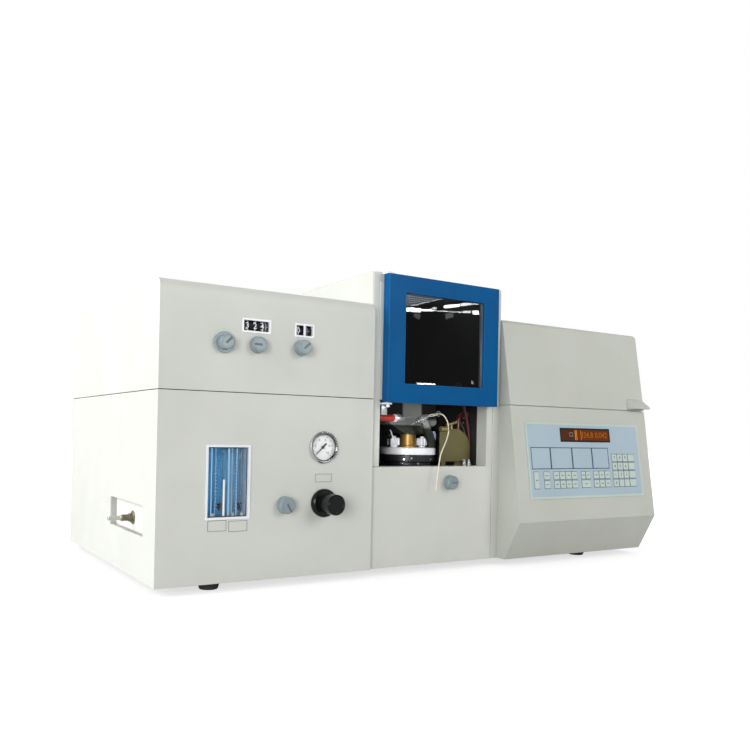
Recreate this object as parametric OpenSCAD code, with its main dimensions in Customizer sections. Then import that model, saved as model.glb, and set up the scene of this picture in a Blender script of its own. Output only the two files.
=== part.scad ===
// Atomic absorption spectrophotometer: two sheet-metal cabinets with a burner bay between them.
// Millimetres, +Z up, +X to the right as seen from the front, +Y to the rear.
// The modules are drawn from the left cabinet's lower front left corner and placed once at the end.

/* [Cabinets] */
// Width of the left cabinet
left_w = 360; // [340:5:400]
// Width of the burner bay between the cabinets
bay_w = 280; // [270:5:310]
// Width of the right console
right_w = 370; // [350:5:400]
// Depth of all three sections
body_d = 545; // [520:5:600]
// Height of the cabinets above their underside
body_h = 440; // [425:5:470]
// Height of the seam between the lower cases and the covers
seam_h = 282; // [280:1:290]
// Width of the dark line along each seam
seam_gap = 1.2; // [0.8:0.1:1.6]
// Thickness of the sheet metal
sheet_t = 2; // [1.5:0.25:2.5]
// Bend radius of the cover edges
bend_r = 15; // [8:1:20]
// Thickness of the floor plates
base_t = 3; // [2:0.5:4]
// Free gap between pieces that fit inside one another
fit_gap = 0.3; // [0.2:0.05:0.4]

/* [Feet] */
// Height of the rubber feet
foot_h = 12; // [8:1:16]
// Diameter of a foot where it meets the case
foot_d = 34; // [28:1:38]
// Diameter of a foot where it stands
foot_tip_d = 28; // [22:1:28]
// Distance of the feet from the front and the rear
foot_inset_y = 30; // [25:1:40]
// Distance of the left feet from the left side
foot_left_x = 92; // [60:1:110]
// Distance of the right feet from the right side
foot_right_x = 136; // [60:1:150]

/* [Burner bay] */
// Set-back of the bay's front panel behind the left cabinet
panel_y = 7; // [5:1:9]
// Height of the bay's front panel, which is the sill of the opening
sill_h = 169; // [160:1:175]
// Depth of the sill
sill_d = 27; // [20:1:32]
// Width of the posts beside the opening
post_w = 16; // [14:1:18]
// Width of the inner frame strip at the right of the opening
strip_w = 13; // [10:1:16]
// Height of the bay's tall housing
tower_h = 494; // [485:1:520]
// Depth of the bay's tall housing
tower_d = 271; // [250:1:300]
// Height of the strip above the opening
header_h = 16; // [12:1:18]
// Depth of the burner compartment from the front of its frame
bay_d = 251; // [230:1:255]
// Width of the exhaust opening
exhaust_w = 190; // [150:5:200]
// Depth of the exhaust opening
exhaust_d = 120; // [90:5:130]
// Height of the raised rim round the exhaust opening
exhaust_rim_h = 8; // [4:1:12]
// Diameter of the light path's apertures
beam_d = 36; // [30:1:40]

/* [Door] */
// Width of the shield door
door_w = 238; // [232:1:240]
// Height of the shield door
door_h = 213; // [205:1:213]
// Thickness of the shield door
door_t = 17.5; // [14:0.5:18]
// Height of the door's lower edge
door_z = 277; // [275:1:279]
// Distance of the door's left edge from the bay's left side
door_x = 19; // [18:0.5:20]
// Width of the door's left and right rails
door_rail = 33; // [28:1:36]
// Height of the door's lower rail
door_sill = 32; // [26:1:36]
// Height of the door's upper rail
door_head = 29; // [24:1:34]
// Thickness of the glass
glass_t = 4; // [3:0.5:5]
// Width of the ledge that the glass sits on
glass_ledge = 4; // [3:0.5:5]
// Diameter of the hinge pins
door_pin_d = 4; // [3:0.5:5]
// Distance of the hinge axis from the door's left edge
door_pin_x = 6; // [5:0.5:7]

/* [Right console] */
// How far the console's knee stands out in front of the left cabinet
knee_y = 53; // [48:1:58]
// Height of the knee
knee_h = 70; // [60:1:80]
// How far the console's foot stands out in front of the left cabinet
toe_y = 15; // [10:1:20]
// How far the console's seam stands out in front of the left cabinet
console_top_y = 22; // [18:1:24]
// Set-back of the lid's top edge behind the left cabinet's front
lid_lean = 4; // [2:1:8]
// Bend radius of the lid's front edge
lid_bend_r = 10; // [6:1:14]
// Free gap beside the lid
lid_gap = 1; // [0.6:0.1:1.4]
// Width of the finger lip on the lid
lip_w = 44; // [36:1:50]
// How far the finger lip stands out
lip_out = 20; // [16:1:24]
// Height of the finger lip
lip_h = 20; // [16:1:24]
// Distance of the finger lip from the right side
lip_x = 5; // [3:1:10]
// Diameter of the lid's hinge barrel
hinge_d = 9; // [8:0.5:10]
// Length of each barrel of the lid hinge
barrel_l = 30; // [24:1:36]

/* [Keypad] */
// Width of the keypad overlay
pad_w = 311; // [300:1:320]
// Height of the keypad overlay
pad_h = 144; // [140:1:150]
// Distance of the overlay from the console's left side
pad_x = 31; // [22:1:34]
// Distance of the overlay below the seam
pad_s = 30; // [26:1:36]
// Thickness of the overlay
pad_t = 1; // [0.8:0.1:1.5]
// Width of the display window
display_w = 138; // [130:1:142]
// Height of the display window
display_h = 27; // [24:1:30]
// Thickness of the display window
display_t = 2; // [1.5:0.25:3]
// Depth of a key's rounded relief
key_t = 0.8; // [0.5:0.1:1.2]
// Gap between neighbouring keys
key_gap = 2.4; // [2:0.1:3]
// Height of one key
key_h = 13.6; // [12:0.1:14]
// Distance from one row of keys to the next
key_row = 16.6; // [16:0.1:17]

/* [Upper left controls] */
// Diameter of the shafts behind the knobs
shaft_d = 6; // [5:0.5:7]
// Running clearance on each side of a shaft
run_gap = 0.05; // [0.02:0.01:0.08]
// Height of the gap between a knob and its panel
knob_gap = 0.6; // [0.4:0.1:1]
// Distance of the gain knob from the left side
gain_x = 96; // [85:1:100]
// Height of the gain knob
gain_z = 354; // [350:1:358]
// Diameter of the gain knob's skirt
gain_skirt_d = 31; // [28:1:34]
// Diameter of the gain knob's cap
gain_d = 22.6; // [20:0.2:24]
// How far the gain knob stands out
gain_h = 16; // [14:0.5:18]
// Distance of the wavelength knob from the left side
wave_x = 149; // [146:1:152]
// Height of the wavelength knob
wave_z = 354; // [350:1:355]
// Diameter of the wavelength knob
wave_d = 25.5; // [23:0.5:27]
// How far the wavelength knob stands out
wave_h = 14; // [12:0.5:16]
// Distance of the slit knob from the left side
slit_x = 223; // [216:1:226]
// Height of the slit knob
slit_z = 355; // [350:1:356]
// Diameter of the slit knob
slit_d = 25; // [23:0.5:27]
// How far the slit knob stands out
slit_h = 17; // [14:0.5:18]

/* [Readouts] */
// Height of the middle of both readout windows
readout_z = 382.5; // [381:0.5:386]
// Height of the readout windows
readout_h = 15.5; // [14:0.5:16]
// Thickness of the readout frames in front of the panel
readout_rim_t = 1; // [0.6:0.1:1.5]
// Width of the rim round a readout window
readout_rim = 3; // [2:0.5:4]
// Diameter of the digit drums
drum_d = 28; // [24:1:29]
// Width of a digit drum
drum_w = 12.2; // [11:0.2:13]
// Width of the last drum, which is graduated
unit_drum_w = 14.6; // [13:0.2:16]
// Gap between neighbouring drums
drum_gap = 0.6; // [0.4:0.1:1]
// Diameter of the axle that the drums turn on
axle_d = 4; // [3:0.5:5]
// Diameter of the slit drum
slit_drum_d = 24; // [22:1:26]
// Width of the slit drum
slit_drum_w = 27; // [26:0.5:28]
// Width of the bar between the two slit windows
slit_bar = 3.2; // [2.5:0.1:4]

/* [Gas controls] */
// Distance of the pressure gauge from the left side
gauge_x = 267; // [262:1:275]
// Height of the pressure gauge
gauge_z = 201; // [195:1:206]
// Outer diameter of the gauge bezel
gauge_d = 51; // [48:0.5:54]
// How far the gauge bezel stands out
gauge_out = 5; // [3:0.5:7]
// Depth of the gauge case behind the panel
gauge_back = 24; // [20:1:32]
// Distance of the regulator from the left side
reg_x = 269; // [264:1:275]
// Height of the regulator
reg_z = 113; // [108:1:118]
// Diameter of the regulator's panel ring
reg_ring_d = 45; // [42:1:48]
// Thickness of the regulator's panel ring
reg_ring_t = 8; // [6:0.5:10]
// Diameter of the regulator knob
reg_d = 32; // [29:0.5:34]
// How far the regulator knob stands out
reg_out = 44; // [40:1:46]
// Distance of the fuel valve knob from the left side
fuel_x = 200; // [190:1:206]
// Height of the fuel valve knob
fuel_z = 112; // [106:1:120]
// Diameter of the fuel valve knob
fuel_d = 27; // [24:0.5:29]
// How far the fuel valve knob stands out
fuel_h = 15; // [12:0.5:17]

/* [Flow meter] */
// Distance of the flow meter's window from the left side
flow_x = 76; // [70:1:80]
// Height of the window's lower edge
flow_z = 97; // [90:1:100]
// Width of the flow meter's window
flow_w = 63; // [60:1:66]
// Height of the flow meter's window
flow_h = 103; // [98:1:110]
// Width of the white frame
flow_rim = 3.5; // [3:0.5:5]
// Thickness of the white frame in front of the panel
flow_rim_t = 1.5; // [1:0.25:2]
// Depth of the clear blocks
flow_d = 24; // [20:1:28]
// Gap between the two blocks
flow_gap = 1; // [0.6:0.1:1.5]
// Set-back of the blocks behind the panel
flow_back = 3; // [2:0.5:5]
// Diameter of a measuring bore at its lower end
tube_d = 9.6; // [9:0.1:10]
// Diameter of a measuring bore at its upper end
tube_top_d = 11.6; // [11:0.1:12]
// Diameter of the floats
float_d = 8.8; // [8:0.1:9]
// Height of the floats
float_h = 11; // [8:0.5:14]
// Travel of the floats
float_travel = 76; // [60:1:80]

/* [Gas inlet] */
// Distance of the side recess behind the front
recess_y = 59; // [50:1:70]
// Height of the side recess's lower edge
recess_z = 66; // [60:1:75]
// Length of the side recess
recess_l = 184; // [170:1:200]
// Height of the side recess
recess_h = 46; // [42:1:52]
// Depth of the side recess
recess_d = 10; // [9:0.5:14]
// Distance of the gas inlet behind the front
inlet_y = 144; // [130:1:160]
// Height of the gas inlet
inlet_z = 86; // [82:1:92]
// Diameter of the inlet's hose nozzle
nozzle_d = 7; // [6:0.25:8]
// Length of the inlet's hose nozzle
nozzle_l = 19; // [16:1:24]
// Diameter of the inlet's bore
inlet_bore = 4; // [3:0.25:4.5]

/* [Burner] */
// Distance of the burner axis right of the bay's middle
burner_dx = 0; // [-4:1:4]
// Distance of the burner axis behind the left cabinet's front
burner_y = 98; // [94:1:106]
// Height of the white flange's upper face
flange_z = 200.5; // [198:0.5:203]
// Diameter of the white flange
flange_d = 104; // [98:1:105]
// Thickness of the white flange
flange_t = 13; // [10:0.5:15]
// Diameter of the spray chamber
chamber_d = 100; // [94:1:100]
// Diameter of the brass stem
stem_d = 29; // [26:0.5:32]
// Height of the brass stem that shows between flange and head
stem_h = 23.5; // [20:0.5:26]
// Depth of the stem's seat in the burner head
stem_seat = 9; // [7:0.5:11]
// Length of the burner head
head_l = 110; // [104:1:116]
// Width of the burner head at its top
head_w = 22; // [18:1:26]
// Height of the burner head
head_h = 76; // [70:1:78]
// Length of the burner slot
slot_l = 100; // [80:1:102]
// Width of the burner slot
slot_w = 0.8; // [0.5:0.1:1.5]
// Depth of the burner slot
slot_depth = 24; // [18:1:30]
// Height of the light path above the burner's upper face
beam_up = 10; // [6:1:14]
// Diameter of the thumb nuts
thumb_d = 22; // [18:1:24]
// Height of the thumb nuts
thumb_h = 17; // [14:0.5:20]
// Distance of the thumb nuts from the burner axis
thumb_x = 32; // [30:1:34]

/* [Burner carriage] */
// Half of the carriage's travel
carriage_travel = 6; // [4:0.5:7]
// Height of the underside of the carriage plate
carriage_z = 110; // [104:1:114]
// Thickness of the carriage plate
carriage_t = 8; // [6:0.5:10]
// Width and depth of the carriage plate
carriage_w = 120; // [110:1:124]
// Diameter of the guide rods
rod_d = 10; // [8:0.5:12]
// Distance of each guide rod from the burner axis
rod_x = 45; // [40:1:48]
// Distance from the carriage plate down to the rod axis
rod_drop = 8; // [7:0.5:9]
// Distance of the carriage knob right of the burner axis
burner_knob_dx = 25; // [22:1:28]
// Height of the carriage knob
burner_knob_z = 141; // [136:1:145]
// Diameter of the carriage knob
burner_knob_d = 25.7; // [24:0.1:28]
// How far the carriage knob stands out
burner_knob_h = 14.5; // [12:0.5:16]

/* [Lamp compartment] */
// Diameter of the hollow cathode lamp
lamp_d = 38; // [34:1:40]
// Length of the hollow cathode lamp
lamp_l = 150; // [130:1:160]
// Distance of the lamp from the console's left side
lamp_x = 90; // [70:1:110]
// Diameter of the lamp's base
lamp_base_d = 33; // [30:1:34]
// Length of the lamp's base
lamp_base_l = 32; // [26:1:36]
// Thickness of the lamp cradle's posts
cradle_t = 12; // [10:1:16]
// Outer diameter of the lens barrel
lens_d = 40; // [36:1:44]

/* [Hidden] */
$fn = 64;

// Colours
c_shell = [0.84, 0.84, 0.80];
c_shell_right = [0.76, 0.76, 0.70];
c_dark = [0.08, 0.08, 0.09];
c_steel = [0.72, 0.73, 0.74];
c_brass = [0.78, 0.62, 0.32];
c_knob = [0.66, 0.71, 0.72];
c_black = [0.05, 0.05, 0.05];
c_blue = [0.06, 0.32, 0.55];

// Places that several pieces share
bay_x0 = left_w;
bay_x1 = left_w + bay_w;
full_w = left_w + bay_w + right_w;
frame_y = panel_y + sheet_t;
open_x0 = bay_x0 + post_w + 1;
open_x1 = bay_x1 - post_w - strip_w + 1;
open_z1 = tower_h - header_h;
liner_y = panel_y + sill_d + sheet_t;
liner_y1 = frame_y + bay_d;
floor_z = sill_h - sheet_t;
burner_x = bay_x0 + bay_w / 2 + burner_dx;
head_z = flange_z + stem_h;
beam_z = head_z + head_h + beam_up;
hinge_y = body_d + hinge_d / 2 + fit_gap;
hinge_z = seam_h + 1;
nozzle_x = recess_d - 20 - nozzle_l;
origin_x = (nozzle_x + full_w) / 2;
origin_y = (hinge_y + hinge_d / 2 - knee_y) / 2;
case_h = seam_h - seam_gap;
seam_lip_h = 9;
seam_lip_t = 2;

// Slope of the console's face
slope_rise = seam_h - knee_h;
slope_run = knee_y - console_top_y;
slope_a = atan(slope_run / slope_rise);

module place() {
  translate([-origin_x, -origin_y, foot_h]) children();
}

// Local Z points out of a front face, local Y points up
module front_at(x, y, z) {
  translate([x, y, z]) rotate([90, 0, 0]) children();
}

// A profile in Y and Z, extruded to the right from x
module side_profile(x, w) {
  translate([x, 0, 0]) rotate([90, 0, 90]) linear_extrude(w) children();
}

// Local Z points out of the console's sloped face, local -Y runs down it from the seam
module on_slope() {
  translate([bay_x1, -console_top_y, seam_h]) rotate([90 - slope_a, 0, 0]) children();
}

// A round rod from one point to another
module rod(a, b, r) {
  d = b - a;
  l = norm(d);
  translate(a) rotate([0, acos(d[2] / l), atan2(d[1], d[0])]) cylinder(r = r, h = l);
}

module rounded_rect(w, h, r) {
  translate([r, 0]) square([w - 2 * r, h]);
  translate([0, r]) square([w, h - 2 * r]);
  for (x = [r, w - r], y = [r, h - r]) translate([x, y]) circle(r);
}

// A rectangle with its two upper corners rounded
module round_top(y0, y1, z0, z1, r) {
  translate([y0, z0]) square([y1 - y0, z1 - z0 - r]);
  translate([y0 + r, z0]) square([y1 - y0 - 2 * r, z1 - z0]);
  for (y = [y0 + r, y1 - r]) translate([y, z1 - r]) circle(r);
}

// Three walls of sheet, open at the rear
module u_wall(w, d, t, h) {
  difference() {
    cube([w, d, h]);
    translate([t, t, -1]) cube([w - 2 * t, d, h + 2]);
  }
}

// Inner thickness of the console's sloping walls, measured level
front_t = sheet_t + 0.3;
lid_slope = (console_top_y + lid_lean) / (body_h - seam_h);
toe_slope = (knee_y - toe_y) / knee_h;

function slope_y(z) = -console_top_y - (seam_h - z) * slope_run / slope_rise;
function lid_y(z) = -console_top_y + (z - seam_h) * lid_slope;

// Sizes of the readouts
counter_w = 2 * drum_w + unit_drum_w + 4 * drum_gap;
counter_x0 = wave_x - 1 - counter_w / 2;
slit_w = slit_drum_w + 2 * drum_gap;
slit_x0 = slit_x + 6 - slit_w / 2;
sleeve_t = 1.2;
cheek_t = 2;
drum_y = sheet_t + 1 + drum_d / 2;
slit_drum_y = sheet_t + 1 + slit_drum_d / 2;

// Sizes of the gauge
gauge_r = gauge_d / 2 - 2.5;
dial_r = gauge_r - 1.5;
dial_back = 4;
dial_t = 0.8;
needle_pin_r = 0.8;

// Sizes of the regulator
reg_spindle_r = 5;
reg_neck_r = 13.8;

// Sizes of the flow meter
block_w = (flow_w - flow_gap - 2 * fit_gap) / 2;
flow_bore_l = float_travel + float_h + 2 * fit_gap;
flow_bore_z = flow_z + (flow_h - flow_bore_l) / 2;
flow_bore_y = flow_back + flow_d / 2;
tube_edge = 8;
fuel_tube_x = flow_x + fit_gap + block_w - tube_edge;
air_tube_x = flow_x + fit_gap + 2 * block_w + flow_gap - tube_edge;

// Sizes of the shaft bushes
bush_d = 9;
bush_nut_d = 11.5;
bush_nut_t = 2.2;
bush_flange_d = 13;
bush_flange_t = 2;
bush_back = 6;
burner_knob_x = burner_x + burner_knob_dx;

// Points of the capillary tube, from the nebulizer through the eyelet to its free end
tube_r = 1.1;
route = [
  [516, 60, 258], [520.5, 60, 260], [524, 58, 261.3], [526.8, 54, 262], [528.3, 49.5, 262.4], [529, 45, 262.5],
  [529.8, 40.8, 262.3], [531.8, 37.2, 261], [534.4, 34.6, 258], [536.6, 32.3, 253.5], [537.8, 30, 248.5],
  [537.8, 27.5, 243], [536.6, 24.7, 237.5], [534.4, 21.8, 232], [531.4, 18.9, 226.5], [527.6, 16, 221],
  [523.2, 13.1, 215.5], [518.4, 10.2, 210], [513.4, 7.4, 204.5], [508.4, 4.6, 199], [503.6, 1.8, 193.4],
  [499.4, -1, 187.6], [496, -3.7, 181.4], [493.2, -6, 175], [491, -7.6, 168.5], [489.4, -8.5, 162],
  [488.2, -9, 155.3], [487.2, -9.2, 148.5], [486.4, -9.2, 141.7], [485.6, -9.2, 134.9], [485, -9.2, 128]];

// Lip that stands up from the left case into its cover
module left_lip() {
  w = left_w - 2 * sheet_t;
  d = body_d - 2 * sheet_t;
  translate([sheet_t, sheet_t, case_h - seam_lip_h]) u_wall(w, d, seam_lip_t + fit_gap, seam_lip_h);
  translate([sheet_t + fit_gap, sheet_t + fit_gap, case_h - 1])
    u_wall(w - 2 * fit_gap, d - fit_gap, seam_lip_t, seam_lip_h + 1);
}

// Hole in a front panel for a shaft bush
module bush_hole(x, y, z, wall) {
  front_at(x, y + wall + 1, z) cylinder(d = bush_d, h = wall + 2);
}

module beam_hole(x) {
  translate([x - 1, burner_y, beam_z]) rotate([0, 90, 0]) cylinder(d = beam_d, h = sheet_t + 2);
}

module base_plates() {
  color(c_dark) {
    translate([sheet_t, sheet_t, 0]) cube([left_w - 2 * sheet_t, body_d - 2 * sheet_t, base_t]);
    translate([bay_x0 + sheet_t, frame_y + sheet_t, 0])
      cube([bay_w - 2 * sheet_t, body_d - frame_y - 3 * sheet_t, base_t]);
    translate([bay_x1 + sheet_t, -toe_y + front_t, 0])
      cube([right_w - 2 * sheet_t, body_d + toe_y - front_t - sheet_t, base_t]);
  }
}

module feet() {
  color(c_black)
    for (x = [foot_left_x, full_w - foot_right_x], y = [foot_inset_y, body_d - foot_inset_y])
      translate([x, y, -foot_h]) rotate_extrude() polygon([
        [0, 1.5], [foot_tip_d / 2 - 4, 1.5], [foot_tip_d / 2 - 4, 0], [foot_tip_d / 2 - 1, 0],
        [foot_tip_d / 2, 1], [foot_d / 2, foot_h - 2], [foot_d / 2, foot_h], [0, foot_h]]);
}

module left_housing() {
  color(c_shell) difference() {
    union() {
      u_wall(left_w, body_d - sheet_t, sheet_t, case_h);
      left_lip();
    }
    translate([flow_x - sleeve_t, -1, flow_z - sleeve_t])
      cube([flow_w + 2 * sleeve_t, sheet_t + 2, flow_h + 2 * sleeve_t]);
    front_at(gauge_x, sheet_t + 1, gauge_z) cylinder(r = gauge_r, h = sheet_t + 2);
    front_at(reg_x, sheet_t + 1, reg_z) cylinder(r = reg_neck_r, h = sheet_t + 2);
    bush_hole(fuel_x, 0, fuel_z, sheet_t);
    translate([-1, recess_y, recess_z]) cube([sheet_t + 2, recess_l, recess_h]);
  }
}

module left_cover() {
  color(c_shell) difference() {
    side_profile(0, left_w) round_top(0, body_d, seam_h, body_h, bend_r);
    side_profile(sheet_t, left_w - 2 * sheet_t)
      round_top(sheet_t, body_d - sheet_t, seam_h - 1, body_h - sheet_t, bend_r - sheet_t);
    translate([counter_x0 - sleeve_t, -1, readout_z - readout_h / 2 - sleeve_t])
      cube([counter_w + 2 * sleeve_t, sheet_t + 2, readout_h + 2 * sleeve_t]);
    translate([slit_x0 - sleeve_t, -1, readout_z - readout_h / 2 - sleeve_t])
      cube([slit_w + 2 * sleeve_t, sheet_t + 2, readout_h + 2 * sleeve_t]);
    bush_hole(gain_x, 0, gain_z, sheet_t);
    bush_hole(wave_x, 0, wave_z, sheet_t);
    bush_hole(slit_x, 0, slit_z, sheet_t);
    beam_hole(left_w - sheet_t);
  }
}

// Tray let into the left side, with the gas inlet in its back
module gas_recess() {
  wall = 1.5;
  rim = 8;
  color(c_shell) difference() {
    union() {
      translate([sheet_t, recess_y - rim, recess_z - rim]) cube([wall, recess_l + 2 * rim, recess_h + 2 * rim]);
      translate([sheet_t, recess_y - wall, recess_z - wall])
        cube([recess_d + wall - sheet_t, recess_l + 2 * wall, recess_h + 2 * wall]);
    }
    translate([0, recess_y, recess_z]) cube([recess_d, recess_l, recess_h]);
    translate([recess_d + wall + 1, inlet_y, inlet_z]) rotate([0, -90, 0]) cylinder(r = 4, h = wall + 2);
  }
}

module gas_inlet() {
  wall = 1.5;
  color(c_brass) translate([recess_d, inlet_y, inlet_z]) rotate([0, -90, 0]) difference() {
    union() {
      rotate_extrude() polygon([
        [0, -9.5], [4, -9.5], [4, 0], [10.5, 0], [10.5, 1.5], [10, 2], [6.5, 2], [6.5, 7], [4.5, 7.5],
        [4.5, 19.5], [4, 20], [nozzle_d / 2, 20], [nozzle_d / 2, 19 + nozzle_l],
        [nozzle_d / 2 - 1, 20 + nozzle_l], [0, 20 + nozzle_l]]);
      translate([0, 0, -wall - 4.5]) cylinder(d = 14, h = 4.5, $fn = 6);
    }
    translate([0, 0, -13]) cylinder(d = inlet_bore, h = nozzle_l + 34);
  }
}

// Rear wall of the lower cases, with ventilation slots
module rear_panel() {
  slot_n = 9;
  color(c_shell) difference() {
    translate([0, body_d - sheet_t, 0]) cube([full_w, sheet_t, case_h]);
    for (x = [left_w / 2 - 60, bay_x1 + 60], i = [0 : slot_n - 1])
      translate([x, body_d - sheet_t - 1, 120 + i * 12]) {
        cube([120, sheet_t + 2, 4]);
        for (e = [0, 120]) translate([e, 0, 2]) rotate([-90, 0, 0]) cylinder(r = 2, h = sheet_t + 2);
      }
    translate([full_w - 74, body_d - sheet_t - 1, 36]) cube([28, sheet_t + 2, 20]);
  }
}

module mains_inlet() {
  color(c_black) translate([full_w - 60, body_d, 46]) difference() {
    union() {
      translate([-25, 0, -12]) cube([50, 2, 24]);
      translate([-14, -20, -10]) cube([28, 21, 20]);
    }
    difference() {
      translate([-12, -15, -8]) cube([24, 20, 16]);
      for (p = [[-7, -2], [7, -2], [0, 3]]) translate([p[0] - 1, -16, p[1] - 2]) cube([2, 12, 4]);
    }
    for (x = [-20, 20]) translate([x, -1, 0]) rotate([-90, 0, 0]) cylinder(d = 3.4, h = 4);
  }
}

// Sheet-metal housing of the burner bay, with its posts and the exhaust opening in its top
module bay_housing() {
  rear = body_d - sheet_t;
  s = sheet_t;
  color(c_shell) difference() {
    union() {
      difference() {
        side_profile(bay_x0, bay_w) polygon([
          [frame_y, 0], [rear, 0], [rear, body_h], [tower_d, body_h], [tower_d, tower_h], [frame_y, tower_h]]);
        side_profile(bay_x0 + s, bay_w - 2 * s) polygon([
          [frame_y + s, -1], [rear - s, -1], [rear - s, body_h - s], [tower_d - s, body_h - s],
          [tower_d - s, tower_h - s], [frame_y + s, tower_h - s]]);
        translate([open_x0, frame_y - 1, floor_z])
          cube([open_x1 - open_x0, s + 2, open_z1 - floor_z]);
      }
      translate([bay_x0 + 1, panel_y, sill_h + 1]) cube([post_w, s, tower_h - sill_h - 1]);
      translate([bay_x1 - post_w + 1, panel_y, 0]) cube([post_w - 1, s, tower_h]);
      translate([bay_x0 + 1, panel_y, open_z1]) cube([bay_w - 1, s, header_h]);
      translate([open_x0 - s, frame_y, floor_z]) cube([s, liner_y - frame_y, open_z1 - floor_z]);
      translate([open_x1, frame_y, floor_z]) cube([s, liner_y - frame_y, open_z1 - floor_z]);
    }
    translate([burner_x - exhaust_w / 2, burner_y - exhaust_d / 2, tower_h - s - 1])
      cube([exhaust_w, exhaust_d, s + 2]);
    beam_hole(bay_x0);
    beam_hole(bay_x1 - s);
    bush_hole(burner_knob_x, panel_y, burner_knob_z, 2 * s);
  }
}

// Dark lining of the burner compartment, open at the front, with the exhaust duct on top
module bay_liner() {
  s = sheet_t;
  x0 = open_x0 - s;
  w = open_x1 - open_x0 + 2 * s;
  y0 = frame_y + s;
  color(c_dark) difference() {
    union() {
      translate([x0, y0, floor_z - s]) cube([w, liner_y1 - y0, s]);
      translate([x0, liner_y, floor_z - s]) cube([s, liner_y1 - liner_y, open_z1 - floor_z + 2 * s]);
      translate([open_x1, liner_y, floor_z - s]) cube([s, liner_y1 - liner_y, open_z1 - floor_z + 2 * s]);
      translate([x0, liner_y1 - s, floor_z - s]) cube([w, s, open_z1 - floor_z + 2 * s]);
      translate([x0, y0, open_z1]) cube([w, liner_y1 - y0, s]);
      translate([burner_x - exhaust_w / 2, burner_y - exhaust_d / 2, open_z1])
        cube([exhaust_w, exhaust_d, header_h + exhaust_rim_h]);
    }
    translate([burner_x - exhaust_w / 2 + s, burner_y - exhaust_d / 2 + s, open_z1 - 1])
      cube([exhaust_w - 2 * s, exhaust_d - 2 * s, header_h + exhaust_rim_h + 2]);
    for (dy = [-carriage_travel, carriage_travel])
      translate([burner_x, burner_y + dy, floor_z - s - 1]) cylinder(d = chamber_d + 8, h = s + 2);
    beam_hole(x0);
    beam_hole(open_x1);
  }
}

module front_panel() {
  color(c_shell) difference() {
    union() {
      translate([bay_x0 + 1, panel_y, 0])
        cube([open_x1 + strip_w - 2 - bay_x0, sheet_t, sill_h]);
      translate([open_x0, panel_y, floor_z]) cube([open_x1 - open_x0, sill_d, sheet_t]);
    }
    bush_hole(burner_knob_x, panel_y, burner_knob_z, sheet_t);
  }
}

module right_housing() {
  s = sheet_t;
  lip_y = lid_y(seam_h + seam_lip_h) + front_t + fit_gap;
  lip_x0 = bay_x1 + lid_gap + s + fit_gap;
  lip_x1 = full_w - s - fit_gap;
  color(c_shell_right) difference() {
    union() {
      difference() {
        side_profile(bay_x1, right_w) polygon([
          [-toe_y, 0], [body_d - s, 0], [body_d - s, case_h], [slope_y(case_h), case_h], [-knee_y, knee_h]]);
        side_profile(bay_x1 + s, right_w - 2 * s) polygon([
          [-toe_y + toe_slope + front_t, -1], [body_d, -1], [body_d, case_h + 1],
          [slope_y(case_h + 1) + front_t, case_h + 1], [-knee_y + front_t, knee_h]]);
      }
      difference() {
        translate([bay_x1 + s / 2, 1 - console_top_y, case_h - seam_lip_h])
          cube([right_w - s, body_d - s - 1 + console_top_y, seam_lip_h]);
        translate([lip_x0 + seam_lip_t, lip_y + seam_lip_t, case_h - seam_lip_h - 1])
          cube([lip_x1 - lip_x0 - 2 * seam_lip_t, body_d, seam_lip_h + 2]);
      }
      translate([lip_x0, lip_y, case_h - 1])
        u_wall(lip_x1 - lip_x0, body_d - s - 1 - lip_y, seam_lip_t, seam_lip_h + 1);
    }
    on_slope() translate([pad_x + display_x, -pad_s - display_s - display_h, -sheet_t - 2])
      cube([display_w, display_h, sheet_t + 4]);
  }
}

// Place of the display on the overlay
display_x = 88.5;
display_s = 10;

// Deck under the lid, with the cradle that the lamp lies in
module lamp_bench() {
  s = sheet_t;
  top = case_h - seam_lip_h;
  color(c_steel) difference() {
    union() {
      translate([bay_x1 + s, slope_y(top) + front_t, top - s])
        cube([right_w - 2 * s, body_d - s - slope_y(top) - front_t, s]);
      translate([bay_x1 + lamp_x, burner_y - 20, top]) cube([lamp_l - lamp_base_l, 40, 3]);
      for (x = [14, lamp_l - lamp_base_l - 14 - cradle_t])
        translate([bay_x1 + lamp_x + x, burner_y - 26, top]) cube([cradle_t, 52, beam_z - top + 6]);
    }
    translate([bay_x1 + lamp_x - 1, burner_y, beam_z]) rotate([0, 90, 0])
      cylinder(d = lamp_d + 2 * fit_gap, h = lamp_l);
    translate([bay_x1 + lamp_x - 1, burner_y - lamp_d / 2 - fit_gap, beam_z])
      cube([lamp_l, lamp_d + 2 * fit_gap, 20]);
  }
}

// Hollow cathode lamp, lying along the light path with its window towards the burner
module lamp() {
  glass_l = lamp_l - lamp_base_l;
  color([0.85, 0.9, 0.9]) translate([bay_x1 + lamp_x, burner_y, beam_z]) rotate([0, 90, 0]) {
    rotate_extrude() polygon([
      [0, 0], [14, 0], [14, 34], [lamp_d / 2 - 2, 42], [lamp_d / 2, 46], [lamp_d / 2, glass_l - 4],
      [lamp_base_d / 2, glass_l], [lamp_base_d / 2, lamp_l], [0, lamp_l]]);
    for (a = [0 : 45 : 315]) rotate(a) translate([9, 0, lamp_l - 0.5]) cylinder(d = 2.4, h = 11.5);
  }
}

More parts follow.
